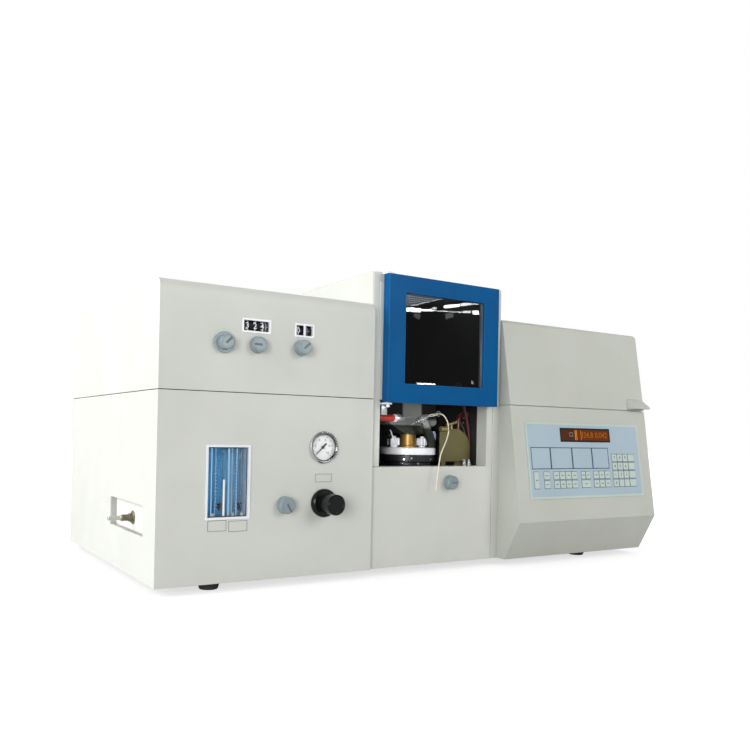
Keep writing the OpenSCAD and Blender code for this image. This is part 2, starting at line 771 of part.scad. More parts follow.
// Lens barrel between the lamp and the burner
module lens_barrel() {
  top = case_h - seam_lip_h;
  x = bay_x1 + lid_gap + sheet_t + 10;
  color(c_dark) difference() {
    union() {
      translate([x, burner_y, beam_z]) rotate([0, 90, 0]) cylinder(d = lens_d, h = 34);
      translate([x + 10, burner_y - 8, top]) cube([14, 16, beam_z - top]);
      translate([x + 4, burner_y - 16, top]) cube([26, 32, 4]);
    }
    translate([x - 1, burner_y, beam_z]) rotate([0, 90, 0]) cylinder(d = lens_d - 6, h = 13);
    translate([x + 18, burner_y, beam_z]) rotate([0, 90, 0]) cylinder(d = lens_d - 6, h = 17);
  }
}

module keypad() {
  color([0.63, 0.74, 0.84]) on_slope() difference() {
    translate([pad_x, -pad_s - pad_h, 0]) linear_extrude(pad_t) rounded_rect(pad_w, pad_h, 4);
    translate([pad_x + display_x, -pad_s - display_s - display_h, -1]) cube([display_w, display_h, pad_t + 2]);
  }
}

// Key layout on the overlay: rows counted from the top, columns as distance and width
key_pitch = 15.8;
key_w = key_pitch - key_gap;
key_top = 60.5;

module key(x, row, w, rows = 1) {
  h = key_h + (rows - 1) * key_row;
  translate([pad_x + x, -pad_s - key_top - row * key_row - h, pad_t])
    linear_extrude(key_t) rounded_rect(w, h, 1.5);
}

module keys() {
  color([0.78, 0.83, 0.8]) on_slope() {
    key(12.7, 2, key_w - 2, 2);
    for (row = [2, 3]) {
      key(38, row, key_w);
      for (i = [0 : 3]) key(62.7 + i * key_pitch, row, key_w);
      for (i = [0 : 2]) key(170 + i * key_pitch, row, key_w);
    }
    for (i = [0, 1]) key(136 + i * 12.6, 2, 10.2);
    key(136, 3, 22.8);
    for (row = [0 : 3]) {
      for (i = [0 : 2]) key(226 + i * key_pitch, row, key_w);
      key(226 + 3 * key_pitch, row, key_w + 4);
    }
  }
}

module display() {
  back = front_t * cos(slope_a);
  color([0.22, 0.06, 0.03]) on_slope()
    translate([pad_x + display_x, -pad_s - display_s - display_h, 0]) {
      translate([fit_gap, fit_gap, -back - 0.5])
        cube([display_w - 2 * fit_gap, display_h - 2 * fit_gap, back + 0.5 + display_t - 1.5]);
      translate([-4, -4, -back - 9]) cube([display_w + 8, display_h + 8, 9]);
    }
}

// White rim, sleeve, cheeks and axle that carry the drums behind a readout window
module readout_frame(x0, w, d, yc) {
  z0 = readout_z - readout_h / 2;
  difference() {
    union() {
      front_at(x0 - readout_rim, 0, z0 - readout_rim)
        linear_extrude(readout_rim_t) rounded_rect(w + 2 * readout_rim, readout_h + 2 * readout_rim, 2);
      translate([x0 - sleeve_t, -0.5, z0 - sleeve_t])
        cube([w + 2 * sleeve_t, sheet_t + 1.5, readout_h + 2 * sleeve_t]);
      for (x = [x0 - cheek_t, x0 + w])
        translate([x, sheet_t, readout_z - d / 2 - 1]) cube([cheek_t, d + 2, d + 2]);
    }
    translate([x0, -readout_rim_t - 1, z0]) cube([w, sheet_t + readout_rim_t + 3, readout_h]);
  }
  translate([x0 - 1, yc, readout_z]) rotate([0, 90, 0]) cylinder(d = axle_d, h = w + 2);
}

module counter_frame() {
  color("white") readout_frame(counter_x0, counter_w, drum_d, drum_y);
}

module slit_frame() {
  color("white") {
    readout_frame(slit_x0, slit_w, slit_drum_d, slit_drum_y);
    translate([slit_x0 + (slit_w - slit_bar) / 2, -readout_rim_t, readout_z - readout_h / 2 - 0.5])
      cube([slit_bar, 2, readout_h + 1]);
  }
}

module drum(x, yc, d, w) {
  difference() {
    translate([x, yc, readout_z]) rotate([0, 90, 0]) cylinder(d = d, h = w);
    translate([x - 1, yc, readout_z]) rotate([0, 90, 0]) cylinder(d = axle_d + 2 * run_gap, h = w + 2);
    // Hollow on both sides, with a web and a hub
    for (e = [-1, w / 2 + 0.8])
      translate([x + e, yc, readout_z]) rotate([0, 90, 0]) difference() {
        cylinder(d = d - 5, h = w / 2 + 0.2);
        translate([0, 0, -1]) cylinder(d = axle_d + 5, h = w);
      }
  }
}

module hundreds_drum() {
  color(c_black) drum(counter_x0 + drum_gap, drum_y, drum_d, drum_w);
}

module tens_drum() {
  color(c_black) drum(counter_x0 + 2 * drum_gap + drum_w, drum_y, drum_d, drum_w);
}

module units_drum() {
  color(c_black) drum(counter_x0 + 3 * drum_gap + 2 * drum_w, drum_y, drum_d, unit_drum_w);
}

module slit_drum() {
  color(c_black) drum(slit_x0 + drum_gap, slit_drum_y, slit_drum_d, slit_drum_w);
}

// Threaded bush with its nut, which a knob's shaft turns in
module bush(x, y, z, wall, body_w, body_l) {
  front_at(x, y, z) difference() {
    union() {
      translate([0, 0, -wall - bush_back]) cylinder(d = bush_d, h = wall + bush_back + bush_nut_t + 0.6);
      cylinder(d = bush_nut_d, h = bush_nut_t, $fn = 6);
      translate([0, 0, -wall - bush_flange_t]) cylinder(d = bush_flange_d, h = bush_flange_t);
      translate([0, 0, -wall - bush_flange_t - body_l]) cylinder(d = body_w, h = body_l);
    }
    translate([0, 0, -wall - 30]) cylinder(d = shaft_d + 2 * run_gap, h = wall + 50);
  }
}

module shaft_bushes() {
  color(c_brass) {
    bush(gain_x, 0, gain_z, sheet_t, 17, 9);
    bush(wave_x, 0, wave_z, sheet_t, bush_d, 4);
    bush(slit_x, 0, slit_z, sheet_t, bush_d, 4);
    bush(fuel_x, 0, fuel_z, sheet_t, 20, 18);
    bush(burner_knob_x, panel_y, burner_knob_z, 2 * sheet_t, bush_d, 4);
  }
}

// Knob with a rounded skirt, fluted sides, a pointer line and its shaft
module knob(d, h, skirt_d, skirt_h, flutes, shaft_l, line_a) {
  recess = bush_nut_t + 1.6;
  difference() {
    union() {
      rotate_extrude() polygon([
        [0, knob_gap + recess], [bush_nut_d / 2 + 1, knob_gap + recess], [bush_nut_d / 2 + 1, knob_gap],
        [skirt_d / 2 - 1, knob_gap], [skirt_d / 2, knob_gap + 1], [skirt_d / 2, skirt_h - 0.8],
        [skirt_d / 2 - 0.8, skirt_h], [d / 2, skirt_h], [d / 2 - 0.4, h - 1.4], [d / 2 - 1.8, h], [0, h]]);
      translate([0, 0, -shaft_l]) cylinder(d = shaft_d, h = shaft_l + h / 2);
    }
    if (flutes > 0)
      for (i = [0 : flutes - 1])
        rotate((i + 0.5) * 360 / flutes) translate([d / 2 + 0.5, 0, skirt_h + 0.6]) cylinder(r = 1.1, h = h, $fn = 24);
    rotate(line_a) translate([d / 8, -0.8, h - 0.7]) cube([d / 2, 1.6, 2]);
    translate([0, 0, h - 0.4]) difference() {
      cylinder(d = d - 5.5, h = 1);
      translate([0, 0, -1]) cylinder(d = d - 6.7, h = 3);
    }
  }
}

module gain_knob() {
  color(c_knob) front_at(gain_x, 0, gain_z) knob(gain_d, gain_h, gain_skirt_d, 6, 0, 14, 45);
}

module wavelength_knob() {
  color(c_knob) front_at(wave_x, 0, wave_z) knob(wave_d - 1.5, wave_h, wave_d, 3, 24, 26, 180);
}

module slit_knob() {
  color(c_knob) front_at(slit_x, 0, slit_z) knob(slit_d - 1, slit_h, slit_d, 3, 0, 24, 40);
}

module fuel_knob() {
  color(c_knob) front_at(fuel_x, 0, fuel_z) knob(fuel_d - 1, fuel_h, fuel_d, 3, 18, 24, -60);
}

module burner_knob() {
  color(c_knob) front_at(burner_knob_x, panel_y, burner_knob_z)
    knob(burner_knob_d - 1, burner_knob_h, burner_knob_d, 3, 20, burner_y - carriage_w / 2 + 14 - panel_y, 0);
}

module gauge_case() {
  r = gauge_d / 2;
  color(c_steel) front_at(gauge_x, 0, gauge_z) rotate_extrude() polygon([
    [needle_pin_r + run_gap, -dial_back], [needle_pin_r + run_gap, -dial_back - 7], [0, -dial_back - 7],
    [0, -gauge_back], [gauge_r - 2, -gauge_back], [gauge_r, 2 - gauge_back], [gauge_r, 0], [r, 0], [r, gauge_out - 1.5],
    [r - 1.5, gauge_out], [gauge_r - 1, gauge_out], [gauge_r - 1, gauge_out - 1],
    [gauge_r, gauge_out - 1], [gauge_r, gauge_out - 3], [dial_r, gauge_out - 3], [dial_r, -dial_back]]);
}

module gauge_dial() {
  color("white") front_at(gauge_x, 0, gauge_z) translate([0, 0, -dial_back]) difference() {
    cylinder(r = dial_r - 0.1, h = dial_t);
    translate([0, 0, -1]) cylinder(r = 2, h = dial_t + 2);
  }
}

module gauge_needle() {
  l = dial_r - 4;
  color(c_black) front_at(gauge_x, 0, gauge_z) rotate(225) {
    translate([0, 0, -dial_back - 6]) cylinder(r = needle_pin_r, h = 8);
    translate([0, 0, 2 - dial_back]) cylinder(r = 2.5, h = 1);
    translate([0, 0, 2 - dial_back]) linear_extrude(0.7)
      polygon([[0, -1], [l - 2, -0.35], [l, 0], [l - 2, 0.35], [0, 1], [-4, 1.4], [-9, 1.2], [-9, -1.2], [-4, -1.4]]);
  }
}

module gauge_glass() {
  color([0.8, 0.9, 0.9, 0.4]) front_at(gauge_x, 0, gauge_z)
    translate([0, 0, gauge_out - 3]) cylinder(r = gauge_r - 0.2, h = 2);
}

// White frame with the sleeve that holds the two blocks
module flow_frame() {
  depth = flow_back + flow_d;
  color("white") difference() {
    union() {
      front_at(flow_x - flow_rim, 0, flow_z - flow_rim)
        linear_extrude(flow_rim_t) rounded_rect(flow_w + 2 * flow_rim, flow_h + 2 * flow_rim, 1.5);
      translate([flow_x - sleeve_t, -0.5, flow_z - sleeve_t])
        cube([flow_w + 2 * sleeve_t, depth + 0.5, flow_h + 2 * sleeve_t]);
    }
    translate([flow_x, -flow_rim_t - 1, flow_z]) cube([flow_w, depth + flow_rim_t + 2, flow_h]);
  }
}

module flow_tube(x) {
  translate([x, flow_bore_y, flow_bore_z]) cylinder(d1 = tube_d, d2 = tube_top_d, h = flow_bore_l);
}

module flow_blocks() {
  color([0.35, 0.65, 0.9, 0.5]) difference() {
    union() {
      for (x = [flow_x + fit_gap, flow_x + fit_gap + block_w + flow_gap])
        translate([x, flow_back, flow_z]) cube([block_w, flow_d, flow_h - fit_gap]);
    }
    flow_tube(fuel_tube_x);
    flow_tube(air_tube_x);
  }
}

module flow_screws() {
  color(c_steel)
    for (x = [fuel_tube_x - 14, air_tube_x - 14, air_tube_x])
      front_at(x, flow_back, flow_z + 3.6) difference() {
        cylinder(d = 5, h = 1.6);
        translate([-3, -0.4, 0.9]) cube([6, 0.8, 2]);
      }
}

// Float, a plumb bob with a flanged head
module flow_float(x) {
  r = float_d / 2;
  translate([x, flow_bore_y, flow_bore_z + fit_gap]) rotate_extrude() polygon([
    [0, 0], [1, 0], [r * 0.7, float_h * 0.5], [r * 0.7, float_h * 0.8], [r, float_h * 0.86], [r, float_h], [0, float_h]]);
}

module fuel_float() {
  color("red") flow_float(fuel_tube_x);
}

module air_float() {
  color("black") flow_float(air_tube_x);
}

module regulator_body() {
  r = reg_ring_d / 2;
  color(c_black) front_at(reg_x, 0, reg_z) rotate_extrude() polygon([
    [reg_spindle_r + run_gap, reg_ring_t], [reg_spindle_r + run_gap, -30], [0, -30], [0, -56], [14, -56],
    [19, -50], [19, -sheet_t], [reg_neck_r, -sheet_t], [reg_neck_r, 0], [r, 0], [r, reg_ring_t - 4],
    [r - 1.2, reg_ring_t - 1.5], [r - 3.5, reg_ring_t]]);
}

// Pressure regulator knob: ribbed waist, wider ribbed cap and its spindle
module regulator_knob() {
  r = reg_d / 2;
  waist = r - 1.8;
  z0 = reg_ring_t + knob_gap;
  z1 = reg_out - 19;
  color(c_black) front_at(reg_x, 0, reg_z) difference() {
    union() {
      rotate_extrude() polygon([
        [0, -20], [reg_spindle_r, -20], [reg_spindle_r, z0], [waist - 1, z0], [waist, z0 + 1], [waist, z1],
        [r - 0.5, z1 + 1.5], [r, z1 + 3], [r, reg_out - 2.5], [r - 2.5, reg_out], [r - 5, reg_out],
        [r - 5.8, reg_out - 0.8], [0, reg_out - 0.8]]);
    }
    for (a = [0 : 12 : 348]) rotate(a) translate([waist + 0.5, 0, z0 + 2]) cylinder(r = 0.9, h = z1 - z0 - 3.4, $fn = 24);
    for (a = [0 : 15 : 345]) rotate(a) translate([r + 0.4, 0, z1 + 4]) cylinder(r = 1, h = reg_out - z1 - 8, $fn = 24);
  }
}

// Two pivot brackets that hold the shield door at its left edge
door_x0 = bay_x0 + door_x;
door_y0 = panel_y - 2.5 - door_t;
pin_x = door_x0 + door_pin_x;
pin_y = door_y0 + door_t / 2;
bracket_t = 2.5;
pin_in = 8;

module door_brackets() {
  low = door_z - fit_gap - 0.7 - bracket_t;
  high = door_z + door_h + fit_gap;
  color(c_steel) {
    translate([open_x0, pin_y - 5, low]) cube([pin_x - open_x0 + 5, frame_y + 16 - pin_y, bracket_t]);
    translate([pin_x, pin_y, low + bracket_t]) cylinder(d = door_pin_d + 4, h = 0.7);
    translate([pin_x, pin_y, low - 5]) cylinder(d = door_pin_d + 2, h = 5.5);
    translate([pin_x, pin_y, low]) cylinder(d = door_pin_d, h = bracket_t + 0.7 + fit_gap + pin_in);
    translate([pin_x - 8, pin_y - 5, high]) cube([13, panel_y - pin_y + 5, bracket_t]);
    translate([pin_x, pin_y, high - pin_in]) cylinder(d = door_pin_d, h = pin_in + bracket_t);
    translate([pin_x, pin_y, high + bracket_t - 0.5]) cylinder(d = door_pin_d + 3, h = 1.5);
  }
}

module door_frame() {
  win_w = door_w - 2 * door_rail;
  win_h = door_h - door_sill - door_head;
  g = glass_ledge + 0.5;
  face = 6;
  color(c_blue) difference() {
    translate([door_x0, door_y0, door_z]) cube([door_w, door_t, door_h]);
    translate([door_x0 + door_rail, door_y0 - 1, door_z + door_sill]) cube([win_w, door_t + 2, win_h]);
    translate([door_x0 + door_rail - g, door_y0 + face, door_z + door_sill - g])
      cube([win_w + 2 * g, door_t, win_h + 2 * g]);
    translate([pin_x, pin_y, door_z - 1]) cylinder(d = door_pin_d + 2 * run_gap, h = pin_in + 2);
    translate([pin_x, pin_y, door_z + door_h - pin_in - 1]) cylinder(d = door_pin_d + 2 * run_gap, h = pin_in + 2);
  }
}

module door_glass() {
  win_w = door_w - 2 * door_rail;
  win_h = door_h - door_sill - door_head;
  g = glass_ledge;
  color([0.1, 0.12, 0.14, 0.6])
    translate([door_x0 + door_rail - g, door_y0 + 6, door_z + door_sill - g])
      cube([win_w + 2 * g, glass_t, win_h + 2 * g]);
}

// Spark igniter on the left wall of the compartment
igniter_y = 44;
igniter_z = 252;

module igniter() {
  color("red") {
    translate([open_x0, igniter_y, igniter_z]) rotate([0, 90, 0]) {
      rotate_extrude() polygon([
        [0, 0], [8, 0], [8, 3], [5.5, 4], [5.5, 20], [6, 22], [6, 48], [4.8, 54], [0, 54]]);
      translate([0, 0, 53]) cylinder(d = 11, h = 6, $fn = 6);
      translate([0, 0, 58]) cylinder(d = 7, h = 8);
    }
    rod([open_x0 + 65, igniter_y, igniter_z], [open_x0 + 89, igniter_y, igniter_z + 5], 1);
  }
}

// Gold plate that carries the gas lines at the right of the burner
plate_x1 = open_x1 - 8;
plate_r = 35;
plate_x0 = plate_x1 - 2 * plate_r;
plate_y = 46;
plate_t = 2;
plate_z0 = floor_z + 9;
plate_z1 = floor_z + 63;

module gas_bracket() {
  color([0.62, 0.52, 0.28]) {
    front_at(0, plate_y + plate_t, 0) linear_extrude(plate_t) {
      translate([plate_x0, plate_z0]) square([2 * plate_r, plate_z1 - 29 - plate_z0]);
      translate([plate_x0, plate_z0]) square([plate_r, plate_z1 - plate_z0]);
      translate([plate_x1 - plate_r, plate_z1 - 29]) intersection() {
        circle(plate_r);
        translate([-plate_r, -plate_r / 2]) square([2 * plate_r, 2 * plate_r]);
      }
      for (x = [plate_x0 + 4, plate_x1 - 14]) translate([x, floor_z]) square([10, plate_z0 - floor_z + 1]);
    }
    for (x = [plate_x0 + 4, plate_x1 - 14]) translate([x, plate_y, floor_z]) cube([10, 12, plate_t]);
  }
}

hose_r = 4.5;
hose_bend = 12;
hose_x = open_x1 - 6 - hose_bend;
hose_y = 68;
hose_z0 = floor_z + 7;
hose_z1 = floor_z + 84;

module gas_fittings() {
  top = plate_z1 - 29 + sqrt(plate_r * plate_r - 100);
  color(c_brass) {
    translate([hose_x, hose_y, floor_z]) cylinder(d = 16, h = 7, $fn = 6);
    translate([open_x1 - 6, hose_y, hose_z1 + hose_bend]) rotate([0, 90, 0]) cylinder(d = 15, h = 6, $fn = 6);
    translate([plate_x0 + 2, plate_y + 1, plate_z1 + 5.2]) rotate([0, 90, 0]) cylinder(d = 10, h = 14);
    translate([plate_x1 - plate_r - 8, plate_y + 1, top + 0.5]) cylinder(r = 2, h = 10);
    rod([plate_x1 - plate_r - 20, plate_y + 1, top + 8], [plate_x1 - plate_r + 4, plate_y + 1, top + 14], 2.5);
  }
}

module gas_hose() {
  color([0.6, 0.08, 0.08]) {
    translate([hose_x, hose_y, hose_z0]) cylinder(r = hose_r, h = hose_z1 - hose_z0);
    translate([hose_x + hose_bend, hose_y, hose_z1]) rotate([90, 0, 0])
      rotate_extrude(angle = -90) translate([-hose_bend, 0]) circle(hose_r);
  }
}

// Two guide rods between end plates that stand on the bay's floor plate
rod_z = carriage_z - rod_drop;
rail_y0 = burner_y - carriage_w / 2 - carriage_travel - 12;
rail_y1 = burner_y + carriage_w / 2 + carriage_travel + 6;
rail_t = 6;

module carriage_rails() {
  w = 2 * rod_x + 40;
  color(c_steel) {
    for (y = [rail_y0, rail_y1]) {
      difference() {
        translate([burner_x - w / 2, y, base_t]) cube([w, rail_t, rod_z + 8 - base_t]);
        translate([burner_x - w / 2 + 14, y - 1, base_t + 12]) cube([w - 28, rail_t + 2, rod_z - base_t - 30]);
      }
    }
    for (x = [burner_x - rod_x, burner_x + rod_x])
      translate([x, rail_y0 + 1, rod_z]) rotate([-90, 0, 0]) cylinder(d = rod_d, h = rail_y1 - rail_y0 + 2);
  }
}

// Sliding table under the burner, with its bearing blocks and the nut of the adjusting screw
module carriage() {
  y0 = burner_y - carriage_w / 2;
  color([0.7, 0.72, 0.75]) difference() {
    union() {
      translate([burner_x - carriage_w / 2, y0, carriage_z]) cube([carriage_w, carriage_w, carriage_t]);
      for (x = [-rod_x, rod_x], y = [y0 + 6, y0 + carriage_w - 30])
        translate([burner_x + x - 10, y, rod_z - 8]) cube([20, 24, rod_drop + 8.5]);
      translate([burner_knob_x - 14, y0, carriage_z]) cube([28, 6, burner_knob_z + 12 - carriage_z]);
    }
    for (x = [-rod_x, rod_x])
      translate([burner_x + x, y0 - 1, rod_z]) rotate([-90, 0, 0])
        cylinder(d = rod_d + 2 * run_gap, h = carriage_w + 2);
    front_at(burner_knob_x, y0 + 7, burner_knob_z) cylinder(d = shaft_d + 2 * run_gap, h = 8);
  }
}

module spray_chamber() {
  z0 = carriage_z + carriage_t;
  z1 = flange_z - flange_t;
  r = chamber_d / 2;
  color(c_black) translate([burner_x, burner_y, 0]) {
    rotate_extrude() polygon([
      [0, z0], [r - 14, z0], [r - 10, z0 + 4], [r - 10, z1 - 32], [r - 4, z1 - 30], [r - 4, z1 - 20],
      [r - 6, z1 - 18], [r - 6, z1 - 14], [r, z1 - 12], [r, z1 - 1.5], [r - 1.5, z1], [0, z1]]);
    for (a = [-150, -120, -95, -60, -30])
      rotate([0, 0, a]) translate([r - 5, 0, z1 - 25]) rotate([0, 90, 0]) cylinder(d = 6, h = 3.5);
  }
}

module burner_flange() {
  r = flange_d / 2;
  color("white") translate([burner_x, burner_y, flange_z - flange_t]) rotate_extrude() polygon([
    [0, 0], [r - 1, 0], [r, 1], [r, flange_t - 2], [r - 2, flange_t], [0, flange_t]]);
}

module burner_stem() {
  r = stem_d / 2;
  color(c_brass) translate([burner_x, burner_y, flange_z]) rotate_extrude() polygon([
    [0, 0], [r + 2, 0], [r + 2, 3], [r, 4], [r, stem_h + stem_seat - 1], [r - 1, stem_h + stem_seat],
    [5, stem_h + stem_seat], [5, 6], [0, 6]]);
}

module thumb_nuts() {
  color("white")
    for (x = [-thumb_x, thumb_x]) translate([burner_x + x, burner_y, flange_z]) difference() {
      union() {
        rotate_extrude() polygon([
          [0, 0], [7, 0], [7, 3], [thumb_d / 2, 4], [thumb_d / 2, thumb_h - 1.5],
          [thumb_d / 2 - 1.5, thumb_h], [4, thumb_h], [4, thumb_h + 3], [0, thumb_h + 3]]);
      }
      for (a = [15 : 30 : 345]) rotate(a) translate([thumb_d / 2 + 1, 0, 3.5]) cylinder(r = 2.4, h = thumb_h, $fn = 24);
    }
}

// Nebulizer on its bracket in front of the burner head, with the wire eyelet that guides the capillary tube
eye = [burner_x + 29, burner_y - 53, head_z + 38.5];
neb_a = [burner_x - 9, burner_y - 38, head_z + 23];
neb_b = [burner_x + 16, burner_y - 38, head_z + 34];
neb_tilt = atan2(neb_b[0] - neb_a[0], neb_b[2] - neb_a[2]);

module nebulizer() {
  l = norm(neb_b - neb_a);
  color(c_steel) {
    translate(neb_a) rotate([0, neb_tilt, 0]) difference() {
      union() {
        rotate_extrude() polygon([
          [0, -14], [1.2, -14], [1.2, 0], [4.5, 0], [4.5, 4], [6.5, 5], [6.5, l - 8], [4.5, l - 7],
          [4.5, l - 2], [2.5, l - 1], [2.5, l], [0, l]]);
      }
      for (a = [0 : 30 : 330]) rotate(a) translate([7, 0, 5.5]) cylinder(r = 0.9, h = l - 14, $fn = 24);
    }
    difference() {
      front_at(0, burner_y - 34, 0) linear_extrude(8) polygon([
        [burner_x + 2, head_z + 22], [burner_x + 12, head_z + 28], [burner_x + 33, head_z - 14],
        [burner_x + 33, flange_z], [burner_x + 18, flange_z], [burner_x + 18, head_z - 14]]);
      translate(neb_a) rotate([0, neb_tilt, 0]) cylinder(r = 6, h = l);
    }
    translate(eye) rotate([90, 0, 12]) rotate_extrude() translate([4.6, 0]) circle(0.9, $fn = 24);
    rod(neb_b + [-3.7, -4.5, -1.6], eye + [-3.9, -0.8, -2.4], 0.9);
  }
}

function unit(v) = v / norm(v);
function tangent(i) = unit(route[min(i + 1, len(route) - 1)] - route[max(i - 1, 0)]);

// Ring of eight points round the route at point i
function ring(i) =
  let (t = tangent(i), u = unit(cross(t, [0, 0, 1] + [1, 0, 0] * 0.3)), v = cross(t, u))
  [for (k = [0 : 7]) route[i] + tube_r * (u * cos(k * 45) + v * sin(k * 45))];

module capillary() {
  n = len(route);
  points = [for (i = [0 : n - 1]) each ring(i)];
  sides = [for (i = [0 : n - 2], k = [0 : 7])
    let (a = i * 8 + k, b = i * 8 + (k + 1) % 8)
    each [[a, b, b + 8], [a, b + 8, a + 8]]];
  first = [for (k = [1 : 6]) [0, k + 1, k]];
  last = [for (k = [1 : 6]) [(n - 1) * 8, (n - 1) * 8 + k, (n - 1) * 8 + k + 1]];
  color([0.95, 0.92, 0.8]) polyhedron(points, concat(sides, first, last));
}

// Slot burner head: a long narrow body that tapers down to a round neck on the stem
module burner_head() {
  l = head_l / 2;
  w = head_w / 2;
  color(c_steel) translate([burner_x, burner_y, head_z]) difference() {
    union() {
      intersection() {
        translate([0, 30, 0]) rotate([90, 0, 0]) linear_extrude(60) polygon([
          [-l + 1.5, head_h], [-l, head_h - 1.5], [-l, 26], [-l + 3, 20], [-l + 12, 14], [-l + 26, 6], [-20, 2],
          [20, 2], [l - 26, 6], [l - 12, 14], [l - 3, 20], [l, 26], [l, head_h - 1.5], [l - 1.5, head_h]]);
        translate([-l - 1, 0, 0]) rotate([90, 0, 90]) linear_extrude(head_l + 2) polygon([
          [-w + 4, head_h + 1], [-w, head_h - 12], [-w - 1, 30], [-w - 7, 14], [-w - 7, 0],
          [w + 7, 0], [w + 7, 14], [w + 1, 30], [w, head_h - 12], [w - 4, head_h + 1]]);
      }
      cylinder(r = stem_d / 2 + 4.5, h = 8);
    }
    translate([-slot_l / 2, -slot_w / 2, head_h - slot_depth]) cube([slot_l, slot_w, slot_depth + 1]);
    translate([0, 0, -1]) cylinder(d = stem_d + 2 * run_gap, h = stem_seat + 1 + fit_gap);
  }
}

// The front bend is this much larger than one that only touches its leaning line, so that it cuts it cleanly
bend_over = 0.01;

// Profile of the lid in Y and Z: leaning front, rounded front and rear edges
module lid_outline(inset, below) {
  b = atan(lid_slope);
  top = body_h - inset;
  level = inset > 0 ? front_t : 0;
  r1 = lid_bend_r - inset;
  r2 = bend_r - inset;
  t = r1 / tan((90 + b) / 2);
  corner = lid_y(top) + level;
  rear = body_d - inset;
  polygon([
    [lid_y(seam_h - below) + level, seam_h - below], [corner - t * sin(b), top - t * cos(b)],
    [corner + t, top], [rear - r2, top], [rear, top - r2], [rear, seam_h - below]]);
  translate([corner + t, top - r1]) circle(r1 + bend_over);
  translate([rear - r2, top - r2]) circle(r2);
}

// Finger lip on the lid's front: a bent sheet, open below and towards the lid
module finger_lip() {
  z0 = seam_h + 5;
  z1 = z0 + lip_h - 2;
  tip = lid_y(z0) - lip_out;
  x0 = full_w - lip_x - lip_w;
  color(c_shell_right) difference() {
    side_profile(x0, lip_w) polygon([
      [lid_y(z0 - 2), z0 - 2], [tip + 1, z0 - 2], [tip, z0 - 1], [tip, z0 + 1.5], [lid_y(z1), z1]]);
    side_profile(x0 + 2, lip_w - 4) polygon([
      [lid_y(z0) + 9, z0 - 3], [tip + 2.5, z0 - 3], [tip + 2.5, z0 + 0.5], [lid_y(z1), z1 - 3],
      [lid_y(z0) + 9, z1 - 3]]);
  }
}

hinge_pin_d = 4;
leaf_t = 2;

// Barrel and leaf of the lid hinge: ends on the case, middle on the lid
module hinge_barrel(x, l) {
  translate([x, hinge_y, hinge_z]) rotate([0, 90, 0]) cylinder(d = hinge_d, h = l);
}

module lid_hinge() {
  r = hinge_d / 2;
  color(c_steel)
    for (x = [bay_x1 + 50, full_w - 50 - 3 * barrel_l]) {
      translate([x, body_d, hinge_z - r - 18]) cube([3 * barrel_l, leaf_t, 17]);
      for (e = [0, 2 * barrel_l + fit_gap]) {
        translate([x + e, body_d, hinge_z - r - 2]) cube([barrel_l - fit_gap, leaf_t, r + 2]);
        hinge_barrel(x + e, barrel_l - fit_gap);
      }
      translate([x + 1, hinge_y, hinge_z]) rotate([0, 90, 0]) cylinder(d = hinge_pin_d, h = 3 * barrel_l - 2);
    }
}

module lid() {
  s = sheet_t;
  r = hinge_d / 2;
  color(c_shell_right) difference() {
    union() {
      difference() {
        side_profile(bay_x1 + lid_gap, right_w - lid_gap) lid_outline(0, 0);
        side_profile(bay_x1 + lid_gap + s, right_w - lid_gap - 2 * s) lid_outline(s, 1);
      }
      for (x = [bay_x1 + 50, full_w - 50 - 3 * barrel_l]) {
        translate([x, body_d - 0.5, hinge_z + r + 1]) cube([3 * barrel_l, leaf_t + 0.5, 17]);
        translate([x + barrel_l, body_d - 0.5, hinge_z]) cube([barrel_l, leaf_t + 0.5, r + 2]);
        hinge_barrel(x + barrel_l, barrel_l);
      }
    }
    for (x = [bay_x1 + 50, full_w - 50 - 3 * barrel_l])
      translate([x + barrel_l - 1, hinge_y, hinge_z]) rotate([0, 90, 0])
        cylinder(d = hinge_pin_d + 2 * run_gap, h = barrel_l + 2);
    beam_hole(bay_x1 + lid_gap);
  }
}

place() base_plates();
place() feet();
place() left_housing();
place() left_cover();
place() gas_recess();
place() gas_inlet();
place() rear_panel();
place() mains_inlet();
place() bay_housing();
place() bay_liner();
place() front_panel();
place() right_housing();
place() lamp_bench();
place() lamp();
place() lens_barrel();
place() keypad();
place() keys();
place() display();
place() counter_frame();
place() slit_frame();
place() shaft_bushes();
place() gauge_case();
place() gauge_dial();
place() gauge_glass();
place() flow_frame();
place() flow_blocks();
place() flow_screws();
place() regulator_body();
place() door_brackets();
place() igniter();
place() gas_bracket();
place() gas_fittings();
place() gas_hose();
place() carriage_rails();
place() lid_hinge();
place() gain_knob();
place() wavelength_knob();
place() units_drum();
place() tens_drum();
place() hundreds_drum();
place() slit_knob();
place() slit_drum();
place() fuel_knob();
place() regulator_knob();
place() burner_knob();
place() carriage();
place() spray_chamber();
place() burner_flange();
place() burner_stem();
place() thumb_nuts();
place() nebulizer();
place() capillary();
place() burner_head();
place() door_frame();
place() door_glass();
place() lid();
place() finger_lip();
place() gauge_needle();
place() fuel_float();
place() air_float();
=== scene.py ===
# %% [markdown]
# A bench atomic absorption spectrophotometer: two grey sheet-metal cabinets with a burner bay between them.
# The solids come from the CAD model as a fixed frame. This lesson gives each of them its finish and adds the
# small pieces that a real instrument has, such as figures on its drums, a scale on its gauge and its screws.

# %% Load the frame
import math

import bmesh
import bpy
from mathutils import Matrix, Vector


